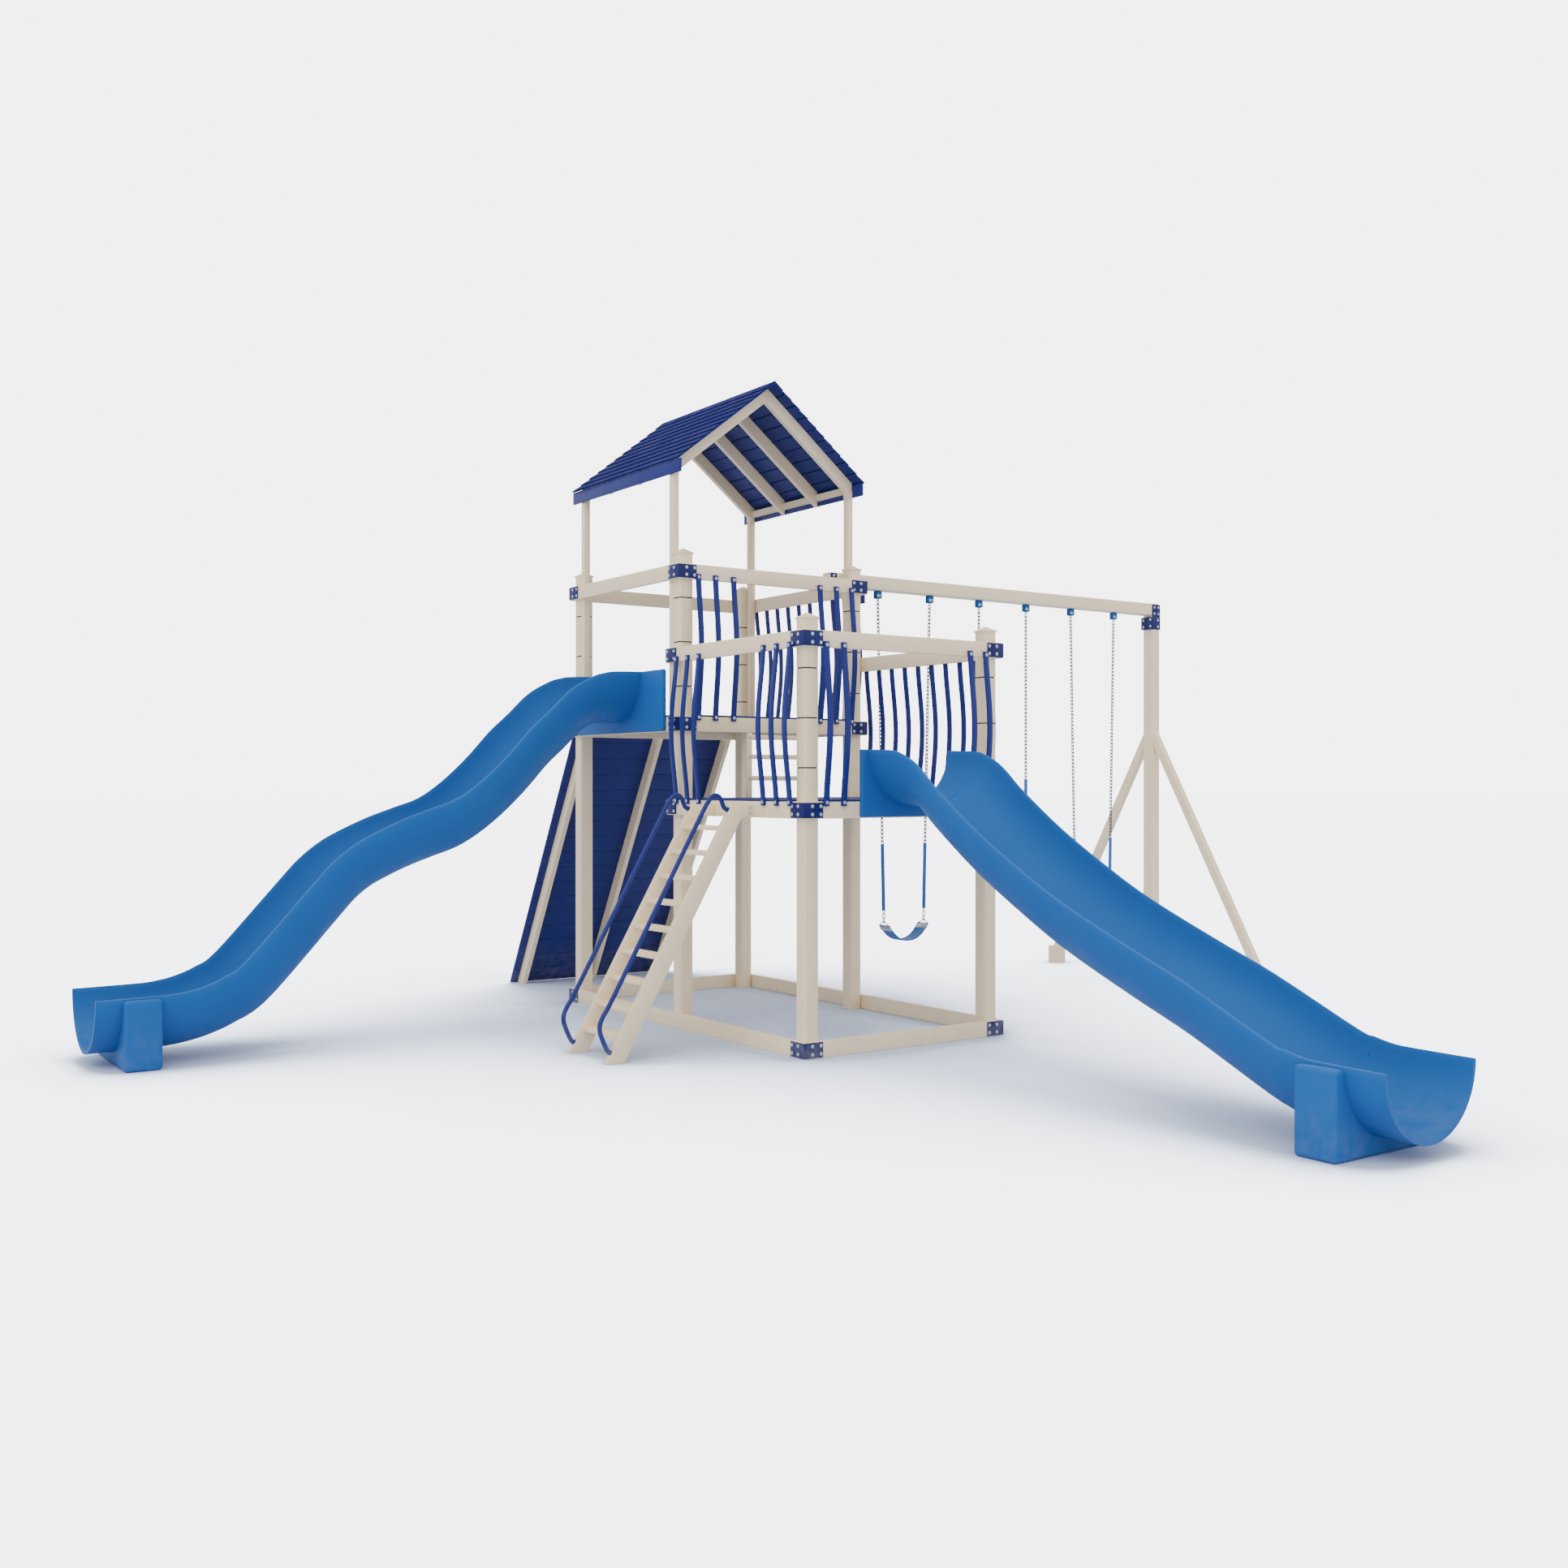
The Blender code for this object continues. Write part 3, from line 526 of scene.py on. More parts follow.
def add_post(low, top, grooves, cap, edge=0.015):
    """Square sleeve standing at the origin, with routed grooves and a hipped cap; the groove faces get
    a dark finish as painted shadow.
    """
    deselect()
    bpy.ops.mesh.primitive_cube_add(size=1, location=(0, 0, (low + top) / 2))
    sleeve = active()
    sleeve.scale = (2 * HALF_POST, 2 * HALF_POST, top - low)
    bpy.ops.object.transform_apply(location=True, rotation=True, scale=True)
    edit_edges(sleeve, lambda a, b: abs(a.z - b.z) > 0.1, edge, 4)
    take(sleeve)
    bpy.ops.object.mode_set(mode="EDIT")
    for groove in grooves:
        for z in (groove - 0.0045, groove - 0.0035, groove + 0.0035, groove + 0.0045):
            bpy.ops.mesh.select_all(action="SELECT")
            bpy.ops.mesh.bisect(plane_co=(0, 0, z), plane_no=(0, 0, 1))
    mesh = bmesh.from_edit_mesh(sleeve.data)
    for vert in mesh.verts:
        if any(abs(vert.co.z - groove) < 0.004 for groove in grooves):
            vert.co.x *= 0.93
            vert.co.y *= 0.93
    # Groove faces take the second slot, the dark painted-shadow finish.
    for face in mesh.faces:
        centre = face.calc_center_median()
        face.material_index = any(abs(centre.z - groove) < 0.0043 for groove in grooves)
    bmesh.update_edit_mesh(sleeve.data)
    bpy.ops.object.mode_set(mode="OBJECT")
    sleeve.data.materials.append(cream)
    if grooves:
        sleeve.data.materials.append(groove_painted_shadow)
    if not cap:
        return [sleeve]
    lip = add_block((-0.0575, 0.0575), (-0.0575, 0.0575), (top - 0.012, top + 0.002), cream, 0.003)
    take(lip)
    bpy.ops.object.mode_set(mode="EDIT")
    bpy.ops.mesh.select_mode(type="FACE")
    bpy.ops.mesh.select_all(action="DESELECT")
    mesh = bmesh.from_edit_mesh(lip.data)
    for face in mesh.faces:
        face.select_set(face.normal.z > 0.99 and face.calc_center_median().z > top)
    bmesh.update_edit_mesh(lip.data)
    bpy.ops.mesh.inset(thickness=0.004)
    bpy.ops.mesh.extrude_region_move(TRANSFORM_OT_translate={"value": (0, 0, 0.027)})
    bpy.ops.transform.resize(value=(0.08, 0.08, 1))
    bpy.ops.object.mode_set(mode="OBJECT")
    return [sleeve, lip]


def post_piece(name, x, y, low, top, grooves, cap=True):
    parts = add_post(low, top, grooves, cap)
    for part in parts:
        part.data.transform(Matrix.Translation((x, y, 0)))
    return assemble(name + ".sleeve", parts, replaces=(name,))


high_grooves = [HIGH_RIM + rise for rise in (0.216, 0.533, 0.85)]
low_grooves = [LOW_RIM + rise for rise in (0.216, 0.533, 0.85)]
for column, x in (("left", -BAY), ("middle", 0.0), ("right", BAY)):
    for row, y in (("front", 0.0), ("back", BAY)):
        low_tower = column == "right"
        post_piece(
            f"post_{row}_{column}", x, y, 0.0, 2.80 if low_tower else 3.40,
            low_grooves if low_tower else high_grooves,
        )
post_piece("swing_end_post", BEAM_X, 5.05, 0.0, BEAM_LOW, [], cap=False)

for node in ("front_left", "front_middle", "back_left", "back_middle"):
    low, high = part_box("roof_post_" + node)
    part = add_block((low[0], high[0]), (low[1], high[1]), (low[2], high[2]), cream, 0.006, 3)
    assemble(f"roof_post_{node}.sleeve", [part], replaces=("roof_post_" + node,))


# ------------------------------------------------------------ rails and pickets


def plain_rail(node, edge=0.004):
    low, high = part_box(node)
    part = add_block((low[0], high[0]), (low[1], high[1]), (low[2], high[2]), cream, edge, 3)
    return assemble(node + ".rail", [part], replaces=(node,))


for node in (
    "ground_beam_front", "ground_beam_back", "ground_beam_left", "ground_beam_right",
    "high_rim_front", "high_rim_left", "high_top_rail_front", "high_top_rail_left",
):
    plain_rail(node)
low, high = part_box("swing_beam")
assemble("swing_beam.sleeve", [
    add_block((low[0], high[0]), (low[1], high[1]), (low[2], high[2]), cream, 0.012, 4)
], replaces=("swing_beam",))


PICKET_WIDE = 0.04
PICKET_THICK = 0.018
PICKET_TALL = 1.048
PICKET_BELOW = 0.028
PICKET_BOW = 0.042
PICKET_STEPS = 24


def picket_bow(t):
    """How far the slat stands off its chord, from foot (0) to head (1)."""
    return PICKET_BOW * (0.5 - 0.5 * math.cos(2 * math.pi * t)) ** 0.8


def add_picket():
    """Bowed slat facing -Y with a bolt at each end; its foot is at z 0 and its back at y 0."""
    deselect()
    bpy.ops.mesh.primitive_cube_add(size=1, location=(0, -PICKET_THICK / 2, PICKET_TALL / 2))
    slat = active()
    slat.scale = (PICKET_WIDE, PICKET_THICK, PICKET_TALL)
    bpy.ops.object.transform_apply(location=True, rotation=True, scale=True)
    take(slat)
    bpy.ops.object.mode_set(mode="EDIT")
    for k in range(1, PICKET_STEPS):
        bpy.ops.mesh.select_all(action="SELECT")
        bpy.ops.mesh.bisect(plane_co=(0, 0, PICKET_TALL * k / PICKET_STEPS), plane_no=(0, 0, 1))
    bpy.ops.object.mode_set(mode="OBJECT")
    edit_edges(slat, lambda a, b: abs(a.x - b.x) < 1e-5 and abs(a.y - b.y) < 1e-5, 0.0035, 2)
    for vert in slat.data.vertices:
        vert.co.y -= picket_bow(min(max(vert.co.z / PICKET_TALL, 0), 1))
    slat.data.materials.append(navy)
    ends = [
        bolt_at((0, -PICKET_THICK - picket_bow(z / PICKET_TALL), z), (0, -1, 0))
        for z in (0.022, PICKET_TALL - 0.022)
    ]
    take(slat)
    for end in ends:
        end.select_set(True)
    bpy.ops.object.join()
    return active()


picket = add_picket()


def railing(node, side, rim_top, pickets, notch=None):
    """Rim and top rail in cream, with the navy pickets bolted to their outer faces."""
    low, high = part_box(node)
    xs = (low[0], high[0])
    ys = (low[1], high[1])
    if side == "front":
        ys = (-RAIL_OUT, -RAIL_OUT + RAIL_THICK)
    elif side == "back":
        ys = (BAY + RAIL_OUT - RAIL_THICK, BAY + RAIL_OUT)
    else:
        face = RAIL_OUT + (BAY if node.startswith("low") else 0.0)
        xs = (face - RAIL_THICK, face)
    rail_top = rim_top + RAIL_RISE
    parts = [add_block(xs, ys, (rim_top - RAIL_TALL, rim_top), cream, 0.004, 3)]
    if notch:
        outline = [
            (xs[0], rail_top - RAIL_TALL), (xs[1], rail_top - RAIL_TALL), (xs[1], rail_top),
            (notch[1], rail_top), (notch[1], notch[2]), (notch[0], notch[2]), (notch[0], rail_top),
            (xs[0], rail_top),
        ]
        parts.append(add_sawn(outline, "Y", ys[0], ys[1], cream, 0.003))
    else:
        parts.append(add_block(xs, ys, (rail_top - RAIL_TALL, rail_top), cream, 0.004, 3))
    assemble(node + ".rails", parts, replaces=(node,))
    foot = rim_top - PICKET_BELOW
    slats = []
    for along in pickets:
        turn, x, y = {
            "front": (0, along, ys[0]), "back": (180, along, ys[1]), "right": (90, xs[1], along),
        }[side]
        slats.append(copy_of(picket, turned_to(turn, x, y, foot)))
    assemble(node + ".pickets", slats)


def both_sides(offsets):
    return [CENTRE + sign * offset for offset in offsets for sign in (-1, 1)]


steps = [(i - 4.5) * 0.1545 for i in range(10)]
railing("low_railing_front", "front", LOW_RIM, both_sides((0.40, 0.55, 0.70)))
railing("low_railing_right", "right", LOW_RIM, both_sides((0.54, 0.68)))
railing("low_railing_back", "back", LOW_RIM, [CENTRE + s for s in steps])
railing("high_railing_right", "right", HIGH_RIM, both_sides((0.39, 0.545, 0.69)))
railing(
    "high_railing_back", "back", HIGH_RIM, [-CENTRE + s for s in steps],
    (BEAM_X - 0.0541, BEAM_X + 0.0538, BEAM_LOW),
)
discard(picket)


# ------------------------------------------------------------------- brackets


PLATE_GAP = 0.0004
PLATE_FACE = 0.0045
PLATE_HALF = 0.049


def add_corner_bracket():
    """Navy angle for the corner of a post at the origin, on its -Y and +X sides."""
    outer = RAIL_OUT + PLATE_FACE
    inner = RAIL_OUT + PLATE_GAP
    reach = outer - 0.15
    tall = (-PLATE_HALF, PLATE_HALF)
    parts = [
        add_block((reach, outer), (-outer, -inner), tall, navy_bracket, 0.0012),
        add_block((inner, outer), (-outer + 0.0006, -reach), tall, navy_bracket, 0.0012),
    ]
    for back in (0.065, 0.132):
        for rise in (-0.026, 0.026):
            parts.append(bolt_at((outer - back, -outer, rise), (0, -1, 0)))
            parts.append(bolt_at((outer, back - outer, rise), (1, 0, 0)))
    take(parts[0])
    for part in parts[1:]:
        part.select_set(True)
    bpy.ops.object.join()
    return active()


corner = add_corner_bracket()
for label, turn, x, y, heights in (
    ("front_right", 0, BAY, 0.0, (0.0535, LOW_RIM - HALF_RAIL, LOW_RIM + RAIL_RISE - HALF_RAIL)),
    ("back_right", 90, BAY, BAY, (0.0535, LOW_RIM - HALF_RAIL, LOW_RIM + RAIL_RISE - HALF_RAIL)),
    ("front_left", 270, -BAY, 0.0, (0.0535, HIGH_RIM - HALF_RAIL, HIGH_RIM + RAIL_RISE - HALF_RAIL)),
    ("back_left", 180, -BAY, BAY, (0.0535, HIGH_RIM - HALF_RAIL, HIGH_RIM + RAIL_RISE - HALF_RAIL)),
    ("front_middle", 0, 0.0, 0.0, (HIGH_RIM - HALF_RAIL, HIGH_RIM + RAIL_RISE - HALF_RAIL)),
    ("back_middle", 90, 0.0, BAY, (HIGH_RIM - HALF_RAIL, HIGH_RIM + RAIL_RISE - HALF_RAIL)),
):
    for level, z in enumerate(heights):
        piece = copy_of(corner, turned_to(turn, x, y, z))
        assemble(f"corner_bracket_{label}_{level + 1}", [piece])
discard(corner)


def plate(name, xs, ys, zs, bolts, axis, edge=0.0012):
    """Flat navy plate with bolts standing on it."""
    parts = [add_block(xs, ys, zs, navy_bracket, edge)]
    parts += [bolt_at(at, axis) for at in bolts]
    return assemble(name, parts)


for level, z in (("deck", LOW_RIM - HALF_RAIL), ("top", LOW_RIM + RAIL_RISE - HALF_RAIL)):
    for row, face, sign in (("front", -RAIL_OUT, -1), ("back", BAY + RAIL_OUT, 1)):
        near, far = face + sign * PLATE_GAP, face + sign * PLATE_FACE
        bolts = [(x, far, z + rise) for x in (-0.070, 0.021) for rise in (-0.026, 0.026)]
        plate(f"end_plate_{row}_{level}", (-0.098, 0.049), sorted((near, far)),
              (z - PLATE_HALF, z + PLATE_HALF), bolts, (0, sign, 0))

# Brackets that carry the swing beam
face = BEAM_X + HALF_POST
plate("beam_bracket_side", (face + 0.0002, face + 0.005), (4.935, 5.1035), (3.142, 3.255),
      [(face + 0.005, y, z) for y in (4.968, 5.07) for z in (3.168, 3.229)], (1, 0, 0))
plate("beam_bracket_upper", (face + 0.0002, face + 0.005), (5.0, 5.1035), (3.2565, 3.370),
      [(face + 0.005, y, z) for y in (5.025, 5.078) for z in (3.285, 3.342)], (1, 0, 0))
plate("beam_bracket_front", (BEAM_X - 0.07, face + 0.005), (4.9905, 4.996), (3.142, 3.255),
      [(x, 4.9905, z) for x in (-0.148, -0.078) for z in (3.168, 3.229)], (0, -1, 0))
plate("beam_seat_plate", (-0.22, -0.0545), (1.62, 1.70), (3.155, BEAM_LOW),
      [(x, 1.62, z) for x in (-0.19, -0.09) for z in (3.18, 3.24)], (0, -1, 0))
plate("beam_strap", (face + 0.0002, face + 0.005), (1.36, 1.42), (3.28, 3.37),
      [(face + 0.005, 1.39, z) for z in (3.30, 3.35)], (1, 0, 0))


# --------------------------------------------------------------------- slides

SCOOP_RIM = [
    (1.6088, 1.962), (1.87, 1.953), (1.96, 1.932), (2.08, 1.882), (2.18, 1.813), (2.32, 1.698),
    (2.66, 1.464), (3.03, 1.251), (3.37, 1.078), (3.85, 0.879), (4.24, 0.726), (4.74, 0.500),
    (4.84, 0.472), (4.95, 0.450), (5.08, 0.444), (5.375, 0.440),
]
WAVE_RIM = [
    (0.085, 2.565), (0.32, 2.559), (0.42, 2.543), (0.515, 2.512), (0.685, 2.416), (0.85, 2.261),
    (1.00, 2.126), (1.18, 1.932), (1.37, 1.760), (1.55, 1.638), (1.73, 1.574), (1.91, 1.510),
    (2.08, 1.437), (2.25, 1.349), (2.41, 1.226), (2.57, 1.054), (2.96, 0.624), (3.095, 0.532),
    (3.22, 0.481), (3.34, 0.455), (3.47, 0.445), (3.845, 0.440),
]


def chute_section(outer, inner, lip):
    """Closed half-round wall section as (across, drop): outside first, then back along the inside."""
    points = []
    for k in range(33):
        turn = math.pi * k / 32
        points.append((-outer * math.cos(turn), outer * math.sin(turn)))
    points[0] = (-outer, lip)
    points[-1] = (outer, lip)
    points.append((outer - lip * 0.35, lip * 0.3))
    points.append((outer - lip, 0.0))
    points.append((inner + lip * 0.5, 0.0))
    points.append((inner, lip))
    for k in range(1, 32):
        turn = math.pi * (1 - k / 32)
        points.append((-inner * math.cos(turn), inner * math.sin(turn)))
    points.append((-inner, lip))
    points.append((-inner - lip * 0.5, 0.0))
    points.append((-outer + lip, 0.0))
    points.append((-outer + lip * 0.35, lip * 0.3))
    return points


def sweep_chute(path, place, section):
    normals = side_normals(path)
    normals[0] = Vector((0, 1))
    normals[-1] = Vector((0, 1))
    rings = []
    for point, normal in zip(path, normals):
        rings.append([place(point[0] - normal[0] * d, a, point[1] - normal[1] * d) for a, d in section])
    return add_skin(rings, slide_blue)


def cut_by(obj, tool):
    take(obj)
    change = obj.modifiers.new("cut", "BOOLEAN")
    change.operation = "DIFFERENCE"
    change.solver = "EXACT"
    change.object = tool
    bpy.ops.object.modifier_apply(modifier="cut")


CHUTE_OUTER = 0.365
CHUTE_INNER = 0.342
CHUTE_LIP = 0.008
CHUTE_MIDDLE = (CHUTE_OUTER + CHUTE_INNER) / 2
ARC_STEPS = 32


def add_slide(node, rim, panel, foot, place):
    """Half-round chute with a flange at its head and a hollowed block at its foot.

    The flange and the block are (near, far, half width, low, high) along the chute's run.
    """
    path = smooth_path(rim, 5)
    chute = sweep_chute(path, place, chute_section(CHUTE_OUTER, CHUTE_INNER, CHUTE_LIP))
    arc = [math.pi * k / ARC_STEPS for k in range(ARC_STEPS + 1)]
    hollow = sweep_chute(
        [path[0] - Vector((0.05, 0))] + path + [path[-1] + Vector((0.05, 0))], place,
        [(-CHUTE_MIDDLE * math.cos(a), CHUTE_MIDDLE * math.sin(a)) for a in arc]
        + [(CHUTE_MIDDLE, -0.2), (-CHUTE_MIDDLE, -0.2)],
    )
    parts = [chute]
    for near, far, half, low, high in (panel, foot):
        corners = [place(near, -half, low), place(far, half, high)]
        spans = [sorted((corners[0][i], corners[1][i])) for i in range(3)]
        block = add_block(*spans, slide_blue, 0.010 if low > 0 else 0.022, 4)
        cut_by(block, hollow)
        parts.append(block)
    discard(hollow)
    return assemble(node + ".shell", parts, replaces=(node,), angle=32)


add_slide("scoop_slide", SCOOP_RIM, (1.6088, 1.640, 0.411, 1.524, 1.962),
          (4.935, 5.168, 0.4275, 0.0, 0.43), lambda u, a, z: (u, CENTRE + a, z))
add_slide("wave_slide", WAVE_RIM, (0.085, 0.120, 0.672, 2.120, 2.565),
          (3.470, 3.692, 0.407, 0.0, 0.43), lambda u, a, z: (-CENTRE + a, -u, z))


# --------------------------------------------------------------------- ladder

LADDER_X = 0.785
SPREAD = 0.245
HALF_STRING = 0.0185
LADDER_FOOT = -1.19
TREAD_FIRST = 0.165
TREAD_STEP = 0.162
lean_angle = math.radians(60)
slope = math.tan(lean_angle)
outline = [
    (LADDER_FOOT, 0.0), (LADDER_FOOT + 1.585 / slope, 1.585), (-0.262, 1.60), (-0.0848, 1.60),
    (-0.0848, 1.525), (-1.06 + 1.525 / slope, 1.525), (-1.06, 0.0),
]
parts = []
for side in (-1, 1):
    middle = LADDER_X + side * SPREAD
    parts.append(add_sawn(outline, "X", middle - HALF_STRING, middle + HALF_STRING, cream, 0.003))
    for z in (1.545, 1.58):
        parts.append(bolt_at((middle + side * HALF_STRING, -0.12, z), (side, 0, 0)))
for i in range(9):
    top = TREAD_FIRST + TREAD_STEP * i
    front = LADDER_FOOT + top / slope + 0.002
    tread = add_block(
        (LADDER_X - 0.228, LADDER_X + 0.228), (front, front + 0.11), (top - 0.028, top), cream, 0.003
    )
    parts.append(tread)
    for k in range(4):
        y = front + 0.02 + 0.023 * k
        parts.append(add_block(
            (LADDER_X - 0.20, LADDER_X + 0.20), (y - 0.004, y + 0.004), (top - 0.002, top + 0.002),
            cream, 0.0012,
        ))
assemble("ladder.frame", parts, replaces=("ladder",))

up = Vector((math.cos(lean_angle), math.sin(lean_angle)))
out = Vector((-up[1], up[0]))
foot = Vector((LADDER_FOOT, 0.0))
HANDRAIL_RADIUS = 0.015
HANDRAIL_PATH = [
    (0.08, 0.0), (0.08, 0.02), (0.10, 0.055), (0.133, 0.100), (0.165, 0.135), (0.205, 0.155),
    (0.26, 0.159), (0.34, 0.154), (0.65, 0.154), (1.00, 0.156), (1.35, 0.158), (1.70, 0.160),
    (1.78, 0.157), (1.83, 0.145), (1.852, 0.115), (1.845, 0.08), (1.812, 0.035), (1.812, 0.0),
]
for label, x in (("left", LADDER_X - SPREAD), ("right", LADDER_X + SPREAD)):
    path = [foot + up * s + out * n for s, n in smooth_path(HANDRAIL_PATH, 4)]
    rings = []
    for point, normal in zip(path, side_normals(path)):
        ring = []
        for k in range(20):
            turn = 2 * math.pi * k / 20
            at = point + normal * HANDRAIL_RADIUS * math.cos(turn)
            ring.append((x + HANDRAIL_RADIUS * math.sin(turn), at[0], at[1]))
        rings.append(ring)
    parts = [add_skin(rings, navy)]
    for s in (0.08, 1.812):
        at = foot + up * s
        flange = add_turned(0.0175, 0.006, (0, 0, 0.003), (0, 0, 1), navy, 0.001, 20)
        turn = Vector((0, 0, 1)).rotation_difference(Vector((0, out[0], out[1]))).to_matrix().to_4x4()
        flange.data.transform(Matrix.Translation((x, at[0], at[1])) @ turn)
        parts.append(flange)
    assemble(f"ladder_handrail_{label}.tube", parts,
             replaces=(f"ladder_handrail_{label}",), angle=50)

# Short ladder between the decks
parts = []
for side in (-1, 1):
    middle = CENTRE + side * 0.24
    parts.append(add_block((0.0545, 0.0840), (middle - 0.02, middle + 0.02), (1.6386, 2.1137), cream))
for top in (1.798, 1.956, 2.100):
    parts.append(add_block((0.056, 0.0825), (CENTRE - 0.225, CENTRE + 0.225), (top - 0.035, top), cream,
                           0.006, 3))
    for side in (-1, 1):
        parts.append(bolt_at((0.0840, CENTRE + side * 0.24, top - 0.0175), (1, 0, 0)))
assemble("step_ladder.frame", parts, replaces=("step_ladder",))


# ---------------------------------------------------------------------- decks


def add_deck(node, ends, between, low, high):
    """Boards across a tower; the first and last stop short of the posts."""
    parts = [add_block(ends, (-0.0835, 0.0528), (low, high), navy_deck)]
    parts.append(add_block(ends, (BAY - 0.0528, BAY + 0.0835), (low, high), navy_deck))
    count = 10
    first = 0.0558
    pitch = (BAY - 2 * first + 0.004) / count
    for i in range(count):
        y = first + i * pitch
        parts.append(add_block(between, (y, y + pitch - 0.004), (low, high), navy_deck))
    assemble(node + ".boards", parts, replaces=(node,))


low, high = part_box("low_deck_floor")
add_deck("low_deck_floor", (0.0538, BAY - 0.0538), (-0.0535, BAY + 0.0835), low[2], high[2])
low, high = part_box("high_deck_floor")
add_deck("high_deck_floor", (-BAY + 0.0538, -0.0538), (-BAY - 0.0835, 0.0835), low[2], high[2])


# -------------------------------------------------------------- climbing wall

WALL_FOOT = -2.93
WALL_HEAD = -1.68
WALL_TOP = 2.22
WALL_SIDES = (0.002, 1.522)
WALL_STRINGERS = (0.088, 0.762, 1.436)
WALL_BOARDS = 17
run = Vector((WALL_HEAD - WALL_FOOT, 0, WALL_TOP))
lean = Matrix.Translation((WALL_FOOT, 0, 0)) @ Matrix.Rotation(math.atan2(run.x, run.z), 4, "Y")
wall_long = run.length
parts = []
for i in range(WALL_BOARDS):
    start = wall_long * i / WALL_BOARDS + (0.0006 if i else 0.014)
    end = wall_long * (i + 1) / WALL_BOARDS - (0.0 if i < WALL_BOARDS - 1 else 0.012)
    board = add_block((0.0, 0.0215), WALL_SIDES, (start, end), navy_wall, 0.004)
    board.data.transform(lean)
    parts.append(board)
    for y in WALL_STRINGERS:
        spot = lean @ Vector((0.0, y, (start + end) / 2))
        parts.append(bolt_at(spot, lean.to_3x3() @ Vector((-1, 0, 0))))
assemble("climbing_wall_boards.planks", parts, replaces=("climbing_wall_boards",))


# ----------------------------------------------------------------------- roof

EAVE_DROP = 0.663
EAVE_OUT = 0.846
ROOF_LEFT = -1.585
ROOF_RIGHT = 0.062
ROOF_WIDE = ROOF_RIGHT - ROOF_LEFT
COURSES = 11
COURSE_PITCH = 0.0977
TAB_WIDE = 0.206
ROOF_PLANKS = 9
RIDGE_CAPS = 9
CAP_HALF = 0.07
fall = EAVE_DROP / EAVE_OUT
pitch = math.atan(fall)
slope_long = math.hypot(EAVE_OUT, EAVE_DROP)


def roof_matrix(sign):
    """Local Y runs down the slope from the ridge, local Z stands off the roof."""
    return (
        Matrix.Translation((0, CENTRE, RIDGE_Z)) @ Matrix.Rotation(0 if sign > 0 else math.pi, 4, "Z")
        @ Matrix.Rotation(-pitch, 4, "X")
    )


for label, sign in (("front", -1), ("back", 1)):
    to_roof = roof_matrix(sign)
    x_ends = (ROOF_LEFT, ROOF_RIGHT) if sign > 0 else (-ROOF_RIGHT, -ROOF_LEFT)
    parts = []
    for i in range(COURSES):
        butt = slope_long - COURSE_PITCH * i
        head = max(butt - 0.118, 0.0)
        edge = x_ends[0]
        first = TAB_WIDE / 2 if i % 2 else TAB_WIDE
        while edge < x_ends[1] - 0.01:
            stop = min(edge + (first if edge == x_ends[0] else TAB_WIDE), x_ends[1])
            tab = add_block((edge + 0.0012, stop - 0.0012), (head, butt), (-0.0060, 0.0), shingle,
                            0.0008, 1)
            for vert in tab.data.vertices:
                down = (vert.co.y - head) / (butt - head)
                vert.co.z += -0.0090 * (1 - down)
            tab.data.transform(to_roof)
            parts.append(tab)
            edge = stop
    assemble(f"roof_slope_{label}.shingles", parts, replaces=(f"roof_slope_{label}",))
    parts = []
    for i in range(ROOF_PLANKS):
        start = slope_long * i / ROOF_PLANKS + 0.002
        end = slope_long * (i + 1) / ROOF_PLANKS - 0.002
        plank = add_block(x_ends, (start + 0.006, end), (-0.0158, -0.0105), navy_deck, 0.002)
        plank.data.transform(to_roof)
        parts.append(plank)
    assemble(f"roof_slope_{label}.planks", parts)
    low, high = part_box("roof_fascia_" + label)
    part = add_block((low[0], high[0]), (low[1], high[1]), (low[2], high[2]), navy, 0.002)
    assemble(f"roof_fascia_{label}.board", [part], replaces=("roof_fascia_" + label,))

ridge = []
cap_foot = RIDGE_Z - CAP_HALF * fall
cap_long = ROOF_WIDE / RIDGE_CAPS
for i in range(RIDGE_CAPS):
    x = ROOF_LEFT + cap_long * i
    outline = [
        (CENTRE - CAP_HALF, cap_foot - 0.001), (CENTRE, RIDGE_Z + 0.0005),
        (CENTRE + CAP_HALF, cap_foot - 0.001), (CENTRE + CAP_HALF, cap_foot - 0.006),
        (CENTRE, RIDGE_Z - 0.0055), (CENTRE - CAP_HALF, cap_foot - 0.006),
    ]
    ridge.append(add_sawn(outline, "X", x + 0.001, x + cap_long - 0.001, shingle, 0.001))
assemble("roof_ridge_cap", ridge)


# --------------------------------------------------------------------- swings

for i in range(6):
    node = f"swing_hanger_{i + 1}"
    low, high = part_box(node)
    y = (low[1] + high[1]) / 2
    parts = [add_block((low[0], high[0]), (low[1], high[1]), (low[2], high[2]), slide_blue, 0.012, 3)]
    deselect()
    bpy.ops.mesh.primitive_torus_add(
        major_radius=0.011, minor_radius=0.003, major_segments=24, minor_segments=10,
        location=(BEAM_X, y, low[2] - 0.002), rotation=(math.pi / 2, 0, 0),
    )
    eye = active()
    bpy.ops.object.transform_apply(location=True, rotation=True, scale=True)
    eye.data.materials.append(chain_steel)
    parts.append(eye)
    for side in (-1, 1):
        parts.append(bolt_at((high[0], y + side * 0.016, low[2] + 0.022), (1, 0, 0)))
    assemble(node + ".fitting", parts, replaces=(node,))


